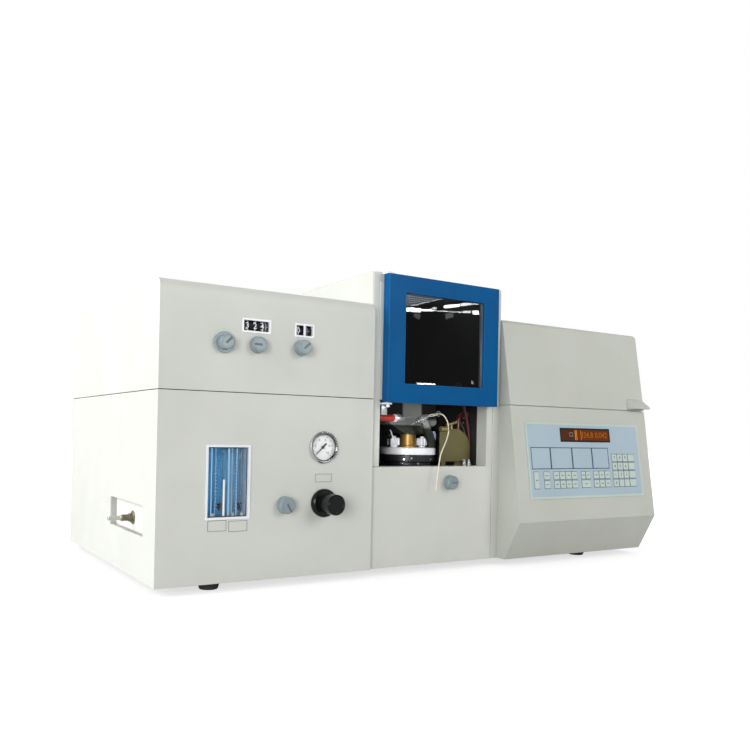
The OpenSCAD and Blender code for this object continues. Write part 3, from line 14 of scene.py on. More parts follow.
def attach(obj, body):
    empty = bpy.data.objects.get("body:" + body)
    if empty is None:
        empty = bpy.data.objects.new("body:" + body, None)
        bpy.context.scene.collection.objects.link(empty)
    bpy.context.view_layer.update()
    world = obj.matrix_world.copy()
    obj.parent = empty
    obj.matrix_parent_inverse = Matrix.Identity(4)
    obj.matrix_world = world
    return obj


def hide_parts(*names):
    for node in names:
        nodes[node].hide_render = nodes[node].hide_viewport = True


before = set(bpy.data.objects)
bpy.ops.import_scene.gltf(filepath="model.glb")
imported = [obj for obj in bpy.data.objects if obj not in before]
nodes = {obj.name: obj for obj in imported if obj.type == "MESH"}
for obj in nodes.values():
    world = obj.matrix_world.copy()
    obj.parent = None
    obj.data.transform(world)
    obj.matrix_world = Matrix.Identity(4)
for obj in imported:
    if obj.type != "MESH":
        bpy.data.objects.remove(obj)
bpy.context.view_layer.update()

# %% [markdown]
# Sheet-metal work is easiest to think of in millimetres from the left cabinet's lower front left corner. One
# matrix turns such a place into the frame's metres.

# %% Places and objects
FRAME_ORIGIN = Vector((490.5, 250.65, -12.0))
TO_FRAME = Matrix.Scale(0.001, 4) @ Matrix.Translation(-FRAME_ORIGIN)


def at(x, y, z):
    return TO_FRAME @ Vector((x, y, z))


def moved(x, y, z):
    return Matrix.Translation((x, y, z))


def turned_by(degrees, axis="Z"):
    return Matrix.Rotation(math.radians(degrees), 4, axis)


def add_object(name, data):
    made = bpy.data.objects.new(name, data)
    bpy.context.scene.collection.objects.link(made)
    return made


# %% [markdown]
# The camera stands low and to the left, close enough for the cabinet's corner to look large. Its turn is one
# axis whose length is the angle. A photograph's camera looks down its +Z, and Blender's down its -Z.

# %% Camera
CAMERA_PLACE = (-337.59, -1084.423, 224.921)
camera_turn = Vector((1.52443189, -0.42521753, 0.45913351))
camera_axes = Matrix.Rotation(camera_turn.length, 3, camera_turn.normalized()).transposed()
camera_axes = camera_axes @ Matrix.Diagonal((1.0, -1.0, -1.0))
camera_data = bpy.data.cameras.new("camera")
camera_data.sensor_width = 36.0
camera_data.lens = 37.565
camera_data.shift_x = 0.0099
camera_data.shift_y = 0.0706
camera = add_object("camera", camera_data)
camera.matrix_world = Matrix.Translation(at(*CAMERA_PLACE)) @ camera_axes.to_4x4()
bpy.context.scene.camera = camera
print("camera", [round(value, 3) for value in camera.matrix_world.translation])

# %% [markdown]
# Tubes, wires and figures start as curves. A curve with one spline and a round bevel gives a tube of even
# thickness on any route. It is then turned into a mesh, whose size can be measured.

# %% Meshes from curves
def mesh_of(curve):
    """The mesh that a curve or a text draws. The curve itself is removed."""
    holder = add_object(curve.name, curve)
    bpy.context.view_layer.update()
    mesh = bpy.data.meshes.new_from_object(holder.evaluated_get(bpy.context.evaluated_depsgraph_get()))
    bpy.data.objects.remove(holder)
    bpy.data.curves.remove(curve)
    return mesh


def tube_mesh(points, radius, around, along):
    """A round tube along a smooth line. The last two numbers say how finely it is divided."""
    curve = bpy.data.curves.new("tube", "CURVE")
    curve.dimensions = "3D"
    curve.bevel_depth = radius
    curve.bevel_resolution = around
    curve.use_fill_caps = True
    line = curve.splines.new("BEZIER")
    line.bezier_points.add(len(points) - 1)
    for knot, point in zip(line.bezier_points, points):
        knot.co = point
        knot.handle_left_type = "AUTO"
        knot.handle_right_type = "AUTO"
    line.resolution_u = along
    return mesh_of(curve)


# %% [markdown]
# The capillary is a thin soft plastic tube that draws the sample up into the nebulizer. It leaves the
# nebulizer, passes through an eyelet and hangs down over the sill to its open end.

# %% Capillary tube
CAPILLARY_ROUTE = [
    (516, 60, 258), (520.5, 60, 260), (524, 58, 261.3), (526.8, 54, 262), (528.3, 49.5, 262.4),
    (529, 45, 262.5), (529.8, 40.8, 262.3), (531.8, 37.2, 261), (534.4, 34.6, 258), (536.6, 32.3, 253.5),
    (537.8, 30, 248.5),
    (537.8, 27.5, 243), (536.6, 24.7, 237.5), (534.4, 21.8, 232), (531.4, 18.9, 226.5), (527.6, 16, 221),
    (523.2, 13.1, 215.5), (518.4, 10.2, 210), (513.4, 7.4, 204.5), (508.4, 4.6, 199), (503.6, 1.8, 193.4),
    (499.4, -1, 187.6), (496, -3.7, 181.4), (493.2, -6, 175), (491, -7.6, 168.5), (489.4, -8.5, 162),
    (488.2, -9, 155.3), (487.2, -9.2, 148.5), (486.4, -9.2, 141.7), (485.6, -9.2, 134.9), (485, -9.2, 128)]
CAPILLARY_RADIUS = 0.0011

capillary_points = [at(*point) for point in CAPILLARY_ROUTE]
capillary_mesh = tube_mesh(capillary_points, CAPILLARY_RADIUS, 4, 6)
capillary_mesh.name = "capillary_tube"
capillary_mesh.shade_smooth()
capillary_tube = add_object("capillary_tube", capillary_mesh)
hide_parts("capillary")
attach(capillary_tube, "burner_carriage")

# %% [markdown]
# Materials are graphs of nodes. The helpers add one node at a time, and each of its sockets gets a plain
# value or a link.


def set_inputs(tree, node, inputs):
    for socket, value in inputs.items():
        if isinstance(value, bpy.types.NodeSocket):
            tree.links.new(value, node.inputs[socket])
        else:
            node.inputs[socket].default_value = value


def add_node(tree, kind, inputs=None, **settings):
    node = tree.nodes.new("ShaderNode" + kind)
    for name, value in settings.items():
        setattr(node, name, value)
    set_inputs(tree, node, inputs or {})
    return node


def map_range(tree, value, limits, results=(0.0, 1.0)):
    """Runs from one result to the other while the value goes from one limit to the other."""
    sockets = zip(("From Min", "From Max", "To Min", "To Max"), (*limits, *results))
    return add_node(tree, "MapRange", {"Value": value, **dict(sockets)}).outputs["Result"]


def calculate(tree, operation, *values):
    return add_node(tree, "Math", dict(enumerate(values)), operation=operation).outputs["Value"]


def mix_colors(tree, share, first, second):
    node = add_node(tree, "Mix", {"Factor": share, "A": first, "B": second}, data_type="RGBA")
    return node.outputs["Result"]


def new_material(name):
    material = bpy.data.materials.new(name)
    material.use_nodes = True
    return material, material.node_tree, material.node_tree.nodes["Principled BSDF"]


# %% [markdown]
# The photograph is a cut-out on white, with next to no shadow. So the floor glows where it is seen, and more
# far away, where the lamps fade. The world is bright at the left and behind the object, and dim in front at
# the right, where the glass reflects it. Seen directly it is plain white.

# %% Floor and world
WHITE = (1, 1, 1, 1)
floor_shape = bmesh.new()
bmesh.ops.create_grid(floor_shape, x_segments=1, y_segments=1, size=12)
floor_mesh = bpy.data.meshes.new("floor")
floor_shape.to_mesh(floor_mesh)
floor_shape.free()
floor = add_object("floor", floor_mesh)
floor_paint, floor_tree, floor_shader = new_material("floor_paint")
floor_place = add_node(floor_tree, "TexCoord")
floor_reach = add_node(floor_tree, "VectorMath", {0: floor_place.outputs["Object"]}, operation="LENGTH")
floor_far = map_range(floor_tree, floor_reach.outputs["Value"], (0.9, 2.6), (0.68, 1.0))
floor_seen = add_node(floor_tree, "LightPath")
floor_glow = map_range(floor_tree, floor_seen.outputs["Is Camera Ray"], (0.0, 1.0), (0.12, floor_far))
set_inputs(floor_tree, floor_shader, {
    "Base Color": (0.45, 0.45, 0.45, 1), "Roughness": 0.8, "Specular IOR Level": 0.1,
    "Emission Color": WHITE, "Emission Strength": floor_glow})
floor_mesh.materials.append(floor_paint)

BRIGHT_SIDE = (-0.56, 0.76, -0.42)
world = bpy.data.worlds.new("studio")
world.use_nodes = True
sky = world.node_tree
sky_way = add_node(sky, "TexCoord")
sky_side = add_node(sky, "VectorMath", {0: sky_way.outputs["Generated"], 1: BRIGHT_SIDE},
                    operation="DOT_PRODUCT")
sky_fade = map_range(sky, sky_side.outputs["Value"], (-0.65, 0.30), (0.12, 1.0))
faded_sky = sky.nodes["Background"]
set_inputs(sky, faded_sky, {"Color": WHITE, "Strength": sky_fade})
plain_sky = add_node(sky, "Background", {"Color": WHITE})
seen_directly = add_node(sky, "LightPath")
sky_choice = add_node(sky, "MixShader", {
    "Fac": seen_directly.outputs["Is Camera Ray"], 1: faded_sky.outputs["Background"],
    2: plain_sky.outputs["Background"]})
set_inputs(sky, sky.nodes["World Output"], {"Surface": sky_choice.outputs["Shader"]})
bpy.context.scene.world = world
bpy.context.scene.view_settings.view_transform = "Standard"

# %% [markdown]
# A lamp at the left lights the cabinet's side, and a strong one far off at the front left lights the fronts
# evenly. A narrow spot lamp beside the camera, with a wide low cone, reaches the burner under the door as a
# flash does. Places are in the frame's metres and powers in watts.

# %% Lamps
def add_lamp(name, kind, matrix, power):
    light = bpy.data.lights.new(name, kind)
    light.energy = power
    lamp = add_object(name, light)
    lamp.matrix_world = matrix
    lamp.visible_camera = False
    return light


def aimed(place, target, wide=1.0):
    turn = (Vector(target) - Vector(place)).to_track_quat("-Z", "Y").to_matrix().to_4x4()
    return Matrix.Translation(place) @ turn @ Matrix.Diagonal((wide, 1, 1, 1))


AREA_LAMPS = [("key_left", (-2.9, 0.3, 1.3), (0, 0, 0.2), 62, 1.8),
              ("top", (0.1, 0.5, 2.8), (0, 0, 0), 4, 2.2),
              ("front_left", (-3.5, -3.4, 0.7), (0.0, -0.15, 0.2), 108, 1.7),
              ("front_high", (0.9, -2.6, 1.2), (0.25, -0.2, 0.2), 27, 1.2),
              ("right_fill", (2.4, -0.4, 1.0), (0.3, 0, 0.2), 12, 1.6)]
for lamp_name, lamp_place, target, power, size in AREA_LAMPS:
    add_lamp(lamp_name, "AREA", aimed(lamp_place, target), power).size = size
burner_spot = add_lamp("burner_spot", "SPOT", aimed((-0.86, -1.30, 0.19), (0.018, -0.20, 0.232), 1.8), 24)
burner_spot.spot_size = math.radians(4.3)
burner_spot.spot_blend = 0.25
burner_spot.shadow_soft_size = 0.02

# %% [markdown]
# The dark pane of the door mirrors the strip lamps of the room. A line seen on the pane from the camera is
# the same as a line seen through it from the camera's mirror image, so a thin lamp stands where that line of
# sight meets a plane two metres in front. Each entry gives the line's ends on the pane (x, z), its thickness
# and how bright it is.

# %% Lamps mirrored in the door
PANE_Y, LAMP_Y = -7.0, -2000.0
MIRRORED_EYE = Vector((CAMERA_PLACE[0], 2 * PANE_Y - CAMERA_PLACE[1], CAMERA_PLACE[2]))
MIRRORED_LINES = [
    (417, 434.2, 447, 435.8, 7, 30), (446, 436.4, 472, 437.9, 3.2, 30), (470, 438, 545, 441.4, 0.9, 26),
    (540, 442.6, 556, 443.8, 3.5, 18), (560.4, 443.2, 575.4, 444.6, 7, 30),
    (496.3, 446.6, 531.7, 453.2, 5, 30), (532.8, 454, 558.8, 459.4, 5, 16), (561, 459.6, 575, 460, 3, 22),
    (426.2, 440.8, 493, 461, 1.2, 12), (471, 441.5, 480, 442.5, 3.5, 14),
    (441.9, 310.6, 480.8, 311.4, 2.2, 30), (560.5, 318.7, 565.5, 318.7, 6, 4), (500, 430, 517, 436, 9, 1.6),
    (433, 428, 446, 424, 9, 1.2)]
UPRIGHT = turned_by(90, "X")
grow = (MIRRORED_EYE.y - LAMP_Y) / (MIRRORED_EYE.y - PANE_Y)
for number, (x0, z0, x1, z1, thickness, brightness) in enumerate(MIRRORED_LINES):
    ends = [MIRRORED_EYE + grow * (Vector((x, PANE_Y, z)) - MIRRORED_EYE) for x, z in ((x0, z0), (x1, z1))]
    along = ends[1] - ends[0]
    tilt = Matrix.Rotation(-math.atan2(along.z, along.x), 4, "Y") @ UPRIGHT
    place = Matrix.Translation(at(*(ends[0] + ends[1]) / 2)) @ tilt
    length, height = along.length / 1000, thickness * grow / 1000
    strip = add_lamp(f"room_strip_{number}", "AREA", place, brightness * math.pi * length * height)
    strip.shape = "RECTANGLE"
    strip.size = length
    strip.size_y = height

# %% [markdown]
# Shapes are modelled with bmesh operators in millimetres. A block is a cube whose edges are bevelled, and a
# turned piece is a profile spun about Z, as on a lathe. A profile of (radius, height) starts and ends on the
# axis, or ends where it began, so that the shape is closed.

# %% Shape helpers
def block(low, high, round_by=0.0, segments=2):
    shape = bmesh.new()
    bmesh.ops.create_cube(shape, size=1)
    low = Vector(low)
    high = Vector(high)
    bmesh.ops.scale(shape, vec=high - low, verts=shape.verts)
    bmesh.ops.translate(shape, vec=(low + high) / 2, verts=shape.verts)
    if round_by > 0:
        bmesh.ops.bevel(shape, geom=shape.edges[:], offset=round_by, segments=segments, affect="EDGES",
                        profile=0.5, material=-1)
    return shape


def turned(profile, steps=48):
    shape = bmesh.new()
    points = [shape.verts.new((radius, 0, height)) for radius, height in profile]
    lines = [shape.edges.new(pair) for pair in zip(points, points[1:])]
    bmesh.ops.spin(shape, geom=points + lines, cent=(0, 0, 0), axis=(0, 0, 1), angle=math.tau, steps=steps,
                   use_merge=True)
    bmesh.ops.remove_doubles(shape, verts=shape.verts, dist=0.0005)
    bmesh.ops.recalc_face_normals(shape, faces=shape.faces)
    return shape


def rod(radius, low, high, steps):
    return turned([(0, low), (radius, low), (radius, high), (0, high)], steps)


def ring(inner, outer, low, high, steps):
    return turned([(inner, low), (outer, low), (outer, high), (inner, high), (inner, low)], steps)


def join(target, shape, place=Matrix()):
    shape.transform(place)
    held = bpy.data.meshes.new("held")
    shape.to_mesh(held)
    target.from_mesh(held)
    bpy.data.meshes.remove(held)
    shape.free()


def outline(low, high, width, depth):
    """A flat rectangular line, drawn as four thin bars."""
    x0, y0 = low
    x1, y1 = high
    bars = [((x0, y0), (x1, y0 + width)), ((x0, y1 - width), (x1, y1)),
            ((x0, y0 + width), (x0 + width, y1 - width)), ((x1 - width, y0 + width), (x1, y1 - width))]
    shape = bmesh.new()
    for a, b in bars:
        join(shape, block((*a, 0), (*b, depth)))
    return shape


def shape_of(mesh):
    shape = bmesh.new()
    shape.from_mesh(mesh)
    bpy.data.meshes.remove(mesh)
    return shape


def figures(text, height, depth=0.12):
    """Plain figures as a flat mesh, centred on the origin and facing +Z."""
    curve = bpy.data.curves.new("figures", "FONT")
    curve.body = text
    curve.align_x = "CENTER"
    curve.align_y = "CENTER"
    curve.size = height / 0.7
    curve.extrude = depth / 2
    curve.offset = height * 0.012
    curve.resolution_u = 3
    return shape_of(mesh_of(curve))


def tube(points, radius):
    """A round wire or hose along a smooth line."""
    return shape_of(tube_mesh(points, radius, 3, 8))


# %% [markdown]
# A finished piece keeps its object at the origin and its place in its mesh, as the CAD nodes do. It rides on
# the body that carries it, and its sharp edges are marked by angle so that round faces stay smooth. Its parts
# are shapes in place, or pairs of a shape and its place.

# %% Piece helper
SHARP_ANGLE = math.radians(35)


def piece(name, parts, material, body="instrument"):
    whole = bmesh.new()
    for part in parts:
        shape, place = part if isinstance(part, tuple) else (part, Matrix())
        join(whole, shape, place)
    whole.transform(TO_FRAME)
    mesh = bpy.data.meshes.new(name)
    whole.to_mesh(mesh)
    whole.free()
    mesh.materials.append(material)
    mesh.shade_smooth()
    mesh.set_sharp_from_angle(angle=SHARP_ANGLE)
    made = add_object(name, mesh)
    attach(made, body)


def toward(place, direction):
    """Local Z points along the direction."""
    return Matrix.Translation(place) @ Vector(direction).to_track_quat("Z", "Y").to_matrix().to_4x4()


def front(x, y, z):
    """Local Z points out of a front face, and local Y up."""
    return moved(x, y, z) @ UPRIGHT


SLOPE = math.degrees(math.atan(31 / 212))
ON_SLOPE = moved(640, -22, 282) @ turned_by(90 - SLOPE, "X")

# %% [markdown]
# Three effects are shared by many finishes, so each is a node group with named inputs. The first gives the
# fine unevenness of powder coat, cast plastic or rubber as a height for a Bump node.

# %% Shared effect: surface grain
def new_group(name, inputs, outputs):
    group = bpy.data.node_groups.new(name, "ShaderNodeTree")
    for label, kind, value in inputs:
        socket = group.interface.new_socket(label, in_out="INPUT", socket_type=kind)
        if value is not None:
            socket.default_value = value
    for label, kind in outputs:
        group.interface.new_socket(label, in_out="OUTPUT", socket_type=kind)
    return group, group.nodes.new("NodeGroupInput").outputs, group.nodes.new("NodeGroupOutput")


FLOAT, COLOR, VECTOR = "NodeSocketFloat", "NodeSocketColor", "NodeSocketVector"

grain, grain_in, grain_out = new_group(
    "surface_grain", [("Scale", FLOAT, 900.0), ("Stretch", VECTOR, (1.0, 1.0, 1.0))],
    [("Height", FLOAT), ("Broad", FLOAT)])
grain_place = add_node(grain, "TexCoord").outputs["Object"]
stretched = add_node(grain, "Mapping", {"Vector": grain_place, "Scale": grain_in["Stretch"]}).outputs[0]
fine = add_node(grain, "TexNoise", {"Vector": stretched, "Scale": grain_in["Scale"], "Detail": 3.0})
broad = add_node(grain, "TexNoise", {"Vector": stretched, "Scale": 9.0, "Detail": 4.0})
set_inputs(grain, grain_out, {"Height": fine.outputs["Fac"], "Broad": broad.outputs["Fac"]})

# %% [markdown]
# Sheet metal has a small radius on every edge, which catches a thin line of light, and handling rubs those
# edges first. A Bevel node rounds the normal there, and the difference from the flat normal is the edge mask.
# It carries the rubbed colour of worn edges, and on the door's blue plastic a painted highlight.

# %% Shared effect: soft edges, worn edges and painted edge highlights
edges, edges_in, edges_out = new_group(
    "soft_edges", [("Radius", FLOAT, 0.001)], [("Normal", VECTOR), ("Rub And Sheen Mask", FLOAT)])
rounding = add_node(edges, "Bevel", {"Radius": edges_in["Radius"]}, samples=4)
facing = add_node(edges, "NewGeometry")
likeness = add_node(edges, "VectorMath", {0: rounding.outputs["Normal"], 1: facing.outputs["Normal"]},
                    operation="DOT_PRODUCT")
edge_rub_and_sheen_mask = map_range(edges, likeness.outputs["Value"], (0.995, 0.80))
set_inputs(edges, edges_out, {"Normal": rounding.outputs["Normal"], "Rub And Sheen Mask": edge_rub_and_sheen_mask})

# %% [markdown]
# No paint or metal is one flat colour. The third effect mixes a second, slightly different tone in, in soft
# patches a few centimetres across.

# %% Shared effect: patchy tone
tone, tone_in, tone_out = new_group(
    "patchy_tone", [("Color", COLOR, None), ("Second", COLOR, None), ("Mask", FLOAT, 0.5),
                    ("Rub And Sheen Mask", FLOAT, 0.0), ("Rub And Sheen Color", COLOR, None), ("Rub And Sheen Amount", FLOAT, 0.2)],
    [("Color", COLOR)])
spread = map_range(tone, tone_in["Mask"], (0.35, 0.65))
two_tones = mix_colors(tone, spread, tone_in["Color"], tone_in["Second"])
rub_and_sheen_share = calculate(tone, "MULTIPLY", tone_in["Rub And Sheen Mask"], tone_in["Rub And Sheen Amount"])
set_inputs(tone, tone_out, {"Color": mix_colors(tone, rub_and_sheen_share, two_tones, tone_in["Rub And Sheen Color"])})

# %% [markdown]
# A finish joins the three effects to one Principled shader. Its colour comes through the patchy tone, its
# roughness varies with the same patches, and its normal is the soft edge with the grain bumped over it. A
# tint gives a finish a second colour in one place, such as the painted shade on the burner head's foot.

# %% Finish helpers
def finish(name, color, second, rough, metallic=0.0, coat=0.0, scale=900.0, stretch=(1, 1, 1),
           bump=0.08, edge=0.0008, rub_and_sheen_color=None, rub_and_sheen_amount=0.15, rough_spread=0.12, specular=0.5):
    material, tree, shader = new_material(name)
    uneven = add_node(tree, "Group", {"Scale": scale, "Stretch": stretch}, node_tree=grain).outputs
    soft = add_node(tree, "Group", {"Radius": edge}, node_tree=edges).outputs
    mixed = add_node(tree, "Group", {
        "Color": (*color, 1), "Second": (*second, 1), "Mask": uneven["Broad"], "Rub And Sheen Mask": soft["Rub And Sheen Mask"],
        "Rub And Sheen Color": (*(rub_and_sheen_color or second), 1), "Rub And Sheen Amount": rub_and_sheen_amount}, node_tree=tone).outputs
    rough_limits = max(0.02, rough - rough_spread / 2), min(1.0, rough + rough_spread / 2)
    bumped = add_node(tree, "Bump", {
        "Strength": bump, "Distance": 0.0004, "Height": uneven["Height"], "Normal": soft["Normal"]}).outputs
    set_inputs(tree, shader, {
        "Base Color": mixed["Color"], "Metallic": metallic, "Specular IOR Level": specular,
        "Roughness": map_range(tree, uneven["Broad"], (0.3, 0.7), rough_limits), "Coat Weight": coat,
        "Coat Roughness": 0.08, "Normal": bumped["Normal"]})
    return material


def tint(material, color, limits):
    """A second colour. A limit is an axis, a middle, and the distances from it where the colour begins and is
    full. Every limit has to be met."""
    tree = material.node_tree
    shader = tree.nodes["Principled BSDF"]
    place = add_node(tree, "TexCoord")
    split = add_node(tree, "SeparateXYZ", {"Vector": place.outputs["Object"]}).outputs
    share = None
    for axis, middle, none, full in limits:
        distance = calculate(tree, "ABSOLUTE", calculate(tree, "SUBTRACT", split[axis], middle))
        met = map_range(tree, distance, (none, full))
        share = met if share is None else calculate(tree, "MULTIPLY", share, met)
    plain = shader.inputs["Base Color"].links[0].from_socket
    set_inputs(tree, shader, {"Base Color": mix_colors(tree, share, plain, (*color, 1))})


# %% [markdown]
# The cabinets have a warm light grey powder coat, the console and its lid the same coat a little darker. The
# burner compartment is black enamel, sooty in places.

# %% Painted metal and prints
cabinet_paint = finish("cabinet_paint", (0.6, 0.612, 0.57), (0.57, 0.583, 0.542), 0.5, scale=1400, bump=0.1,
                       rub_and_sheen_color=(0.68, 0.7, 0.68), rub_and_sheen_amount=0.35, specular=0.3)
console_paint = finish("console_paint", (0.5, 0.515, 0.465), (0.475, 0.49, 0.44), 0.5, scale=1400, bump=0.1,
                       rub_and_sheen_color=(0.6, 0.61, 0.57), rub_and_sheen_amount=0.35, specular=0.3)
dark_enamel = finish("dark_enamel", (0.03, 0.03, 0.032), (0.015, 0.014, 0.014), 0.42, coat=0.1,
                     rub_and_sheen_color=(0.16, 0.16, 0.16), rub_and_sheen_amount=0.4)
recess_paint = finish("recess_paint", (0.7, 0.7, 0.67), (0.66, 0.66, 0.63), 0.5)
# Both tints are painted shade in the gas recess: its end walls, near 60 and 242 mm from the front, turn mid
# grey, and its top and bottom walls a darker grey.
tint(recess_paint, (0.44, 0.44, 0.42), [("Y", -0.0997, 0.0902, 0.0908)])
tint(recess_paint, (0.38, 0.38, 0.36), [("Z", 0.101, 0.0224, 0.0229)])
dial_white = finish("dial_white", (0.95, 0.95, 0.95), (0.92, 0.92, 0.92), 0.5)
print_grey = finish("print_grey", (0.13, 0.13, 0.13), (0.17, 0.17, 0.17), 0.6)
# The dark mark and the white print also paint shade and a reflection on the flow meter.
print_and_shade_mark = finish("print_and_shade_mark", (0.085, 0.105, 0.125), (0.13, 0.155, 0.18), 0.5)
print_and_reflection_white = finish("print_and_reflection_white", (0.85, 0.87, 0.88), (0.8, 0.82, 0.83), 0.5)

# %% [markdown]
# The metals differ in tint and in how they were worked: turned brass, brushed steel with grain along X, and
# the burner head's polished face. Stretched noise gives brushing, as a brush leaves long thin scratches.

# %% Metals
steel = finish("steel", (0.6, 0.61, 0.62), (0.5, 0.51, 0.52), 0.3, metallic=1.0, stretch=(0.06, 1, 1),
               scale=700, bump=0.15, rub_and_sheen_color=(0.8, 0.8, 0.8))
chrome = finish("chrome", (0.72, 0.73, 0.75), (0.66, 0.67, 0.69), 0.1, metallic=1.0, rough_spread=0.06,
                bump=0.02)
burner_steel = finish("burner_steel", (0.4, 0.41, 0.39), (0.3, 0.31, 0.29), 0.42, metallic=0.3,
                      stretch=(0.1, 1, 1), scale=500, bump=0.1, rub_and_sheen_color=(0.7, 0.7, 0.68))
# Both tints are painted shade on the burner head: near black below 239.5 mm high, and at both ends above 254
# mm, outside its lit middle.
tint(burner_steel, (0.014, 0.016, 0.014), [("X", 0.0095, 0.019, 0.023), ("Z", 0, 0.261, 0.266)])
tint(burner_steel, (0.026, 0.03, 0.02), [("Z", 0.312, 0.0575, 0.0605)])
nebulizer_steel = finish("nebulizer_steel", (0.5, 0.52, 0.52), (0.38, 0.4, 0.4), 0.3, metallic=0.9, scale=500,
                         bump=0.1, rub_and_sheen_color=(0.8, 0.8, 0.8), rub_and_sheen_amount=0.6)
# The tint is painted shade: the nebulizer's steel turns near black between 166 and 234 mm high.
tint(nebulizer_steel, (0.045, 0.055, 0.045), [("Z", 0.212, 0.04, 0.034)])
nebulizer_metal = finish("nebulizer_metal", (0.44, 0.47, 0.47), (0.3, 0.33, 0.33), 0.34, metallic=0.7,
                         scale=500, bump=0.1, rub_and_sheen_color=(0.8, 0.8, 0.8), rub_and_sheen_amount=0.6)
aluminium = finish("aluminium", (0.7, 0.71, 0.73), (0.62, 0.63, 0.65), 0.34, metallic=1.0,
                   stretch=(1, 0.08, 1), scale=600, bump=0.12)
brass = finish("brass", (0.42, 0.26, 0.075), (0.3, 0.175, 0.045), 0.42, metallic=0.7, scale=600,
               rub_and_sheen_color=(0.86, 0.68, 0.36), rub_and_sheen_amount=0.5)
inlet_brass = finish("inlet_brass", (0.23, 0.2, 0.13), (0.16, 0.14, 0.09), 0.34, metallic=0.6, scale=600,
                     rub_and_sheen_color=(0.75, 0.72, 0.6), rub_and_sheen_amount=0.5)
tint(inlet_brass, (0.52, 0.52, 0.5), [("X", 0, 0.4995, 0.5005)])
fitting_brass = finish("fitting_brass", (0.3, 0.26, 0.11), (0.22, 0.18, 0.07), 0.36, metallic=0.6, scale=600,
                       rub_and_sheen_color=(0.75, 0.68, 0.42), rub_and_sheen_amount=0.5)
gold_plate = finish("gold_plate", (0.155, 0.135, 0.055), (0.11, 0.095, 0.042), 0.38, metallic=0.55, scale=500,
                    bump=0.1)

# %% [markdown]
# The plastics range from the regulator's glossy black to the satin blue of the door. The knobs are blue-grey.

# %% Plastics and rubber
black_plastic = finish("black_plastic", (0.004, 0.005, 0.005), (0.007, 0.008, 0.008), 0.15, specular=0.24,
                       bump=0.03, rub_and_sheen_color=(0.03, 0.03, 0.03))
chamber_black = finish("chamber_black", (0.01, 0.012, 0.014), (0.016, 0.018, 0.02), 0.36, specular=0.35)
black_matte = finish("black_matte", (0.018, 0.018, 0.018), (0.026, 0.026, 0.026), 0.55)
drum_black = finish("drum_black", (0.004, 0.005, 0.007), (0.007, 0.008, 0.01), 0.45, specular=0.2)
# The feet's black rubber also serves as painted shade in the left cabinet's seam.
black_rubber = finish("black_rubber", (0.02, 0.02, 0.02), (0.032, 0.031, 0.03), 0.75, bump=0.2)
grey_knob = finish("grey_knob", (0.25, 0.31, 0.335), (0.21, 0.27, 0.295), 0.28, coat=0.15,
                   rub_and_sheen_color=(0.5, 0.56, 0.58), rub_and_sheen_amount=0.4, bump=0.05)
white_plastic = finish("white_plastic", (0.82, 0.84, 0.87), (0.77, 0.79, 0.83), 0.3, coat=0.1, bump=0.04)
# The door's much lighter blue along its edges, given through the edge mask, is a painted highlight, not wear.
blue_plastic = finish("blue_plastic", (0.002, 0.088, 0.252), (0.002, 0.078, 0.23), 0.36, scale=1100,
                      bump=0.07, rub_and_sheen_color=(0.05, 0.24, 0.48), rub_and_sheen_amount=0.8, edge=0.0014, specular=0.06)
overlay = finish("overlay", (0.375, 0.475, 0.54), (0.345, 0.445, 0.51), 0.45, scale=1800, bump=0.05)
key_plastic = finish("key_plastic", (0.5, 0.585, 0.545), (0.46, 0.545, 0.505), 0.42, bump=0.05,
                     rub_and_sheen_color=(0.66, 0.73, 0.7), rub_and_sheen_amount=0.4)
white_ceramic = finish("white_ceramic", (0.86, 0.86, 0.89), (0.8, 0.8, 0.84), 0.24, coat=0.2, bump=0.04)
red_rubber = finish("red_rubber", (0.56, 0.035, 0.018), (0.44, 0.025, 0.014), 0.38, coat=0.1)
red_hose = finish("red_hose", (0.085, 0.006, 0.01), (0.035, 0.004, 0.006), 0.34, coat=0.15)
tube_plastic = finish("tube_plastic", (0.82, 0.76, 0.62), (0.78, 0.71, 0.56), 0.35, bump=0.03)

# %% [markdown]
# Glass keeps a plain Metallic and Transmission Weight. The door's pane is dark, the flow meter's blocks are
# blue acrylic, and the gauge and the lamp are clear. A lower Alpha lets lamplight through to what is behind.
# The display's window is nearly opaque dark red.

# %% Glass
def glass(name, color, rough, ior=1.49, smear_rough=0.05, alpha=1.0):
    material, tree, shader = new_material(name)
    smear = add_node(tree, "Group", node_tree=grain).outputs["Broad"]
    roughness = map_range(tree, smear, (0.35, 0.75), (rough, rough + smear_rough))
    set_inputs(tree, shader, {
        "Base Color": (*color, 1), "Transmission Weight": 1.0, "IOR": ior, "Alpha": alpha,
        "Roughness": roughness})
    return material


gauge_pane = glass("gauge_pane", (0.98, 0.99, 0.99), 0.0, 1.4, alpha=0.1)
clear_glass = glass("clear_glass", (0.96, 0.98, 0.98), 0.0, 1.4, alpha=0.3)
smoked_glass = glass("smoked_glass", (0.24, 0.26, 0.27), 0.0, 1.5, 0.012)
blue_acrylic = glass("blue_acrylic", (0.52, 0.82, 1.0), 0.02, alpha=0.35)
amber_window = finish("amber_window", (0.045, 0.012, 0.006), (0.06, 0.016, 0.008), 0.12, coat=0.5, bump=0.02)

# %% [markdown]
# A CAD node has its material in a slot of its mesh. The finish is put there, and the shape stays as it is.

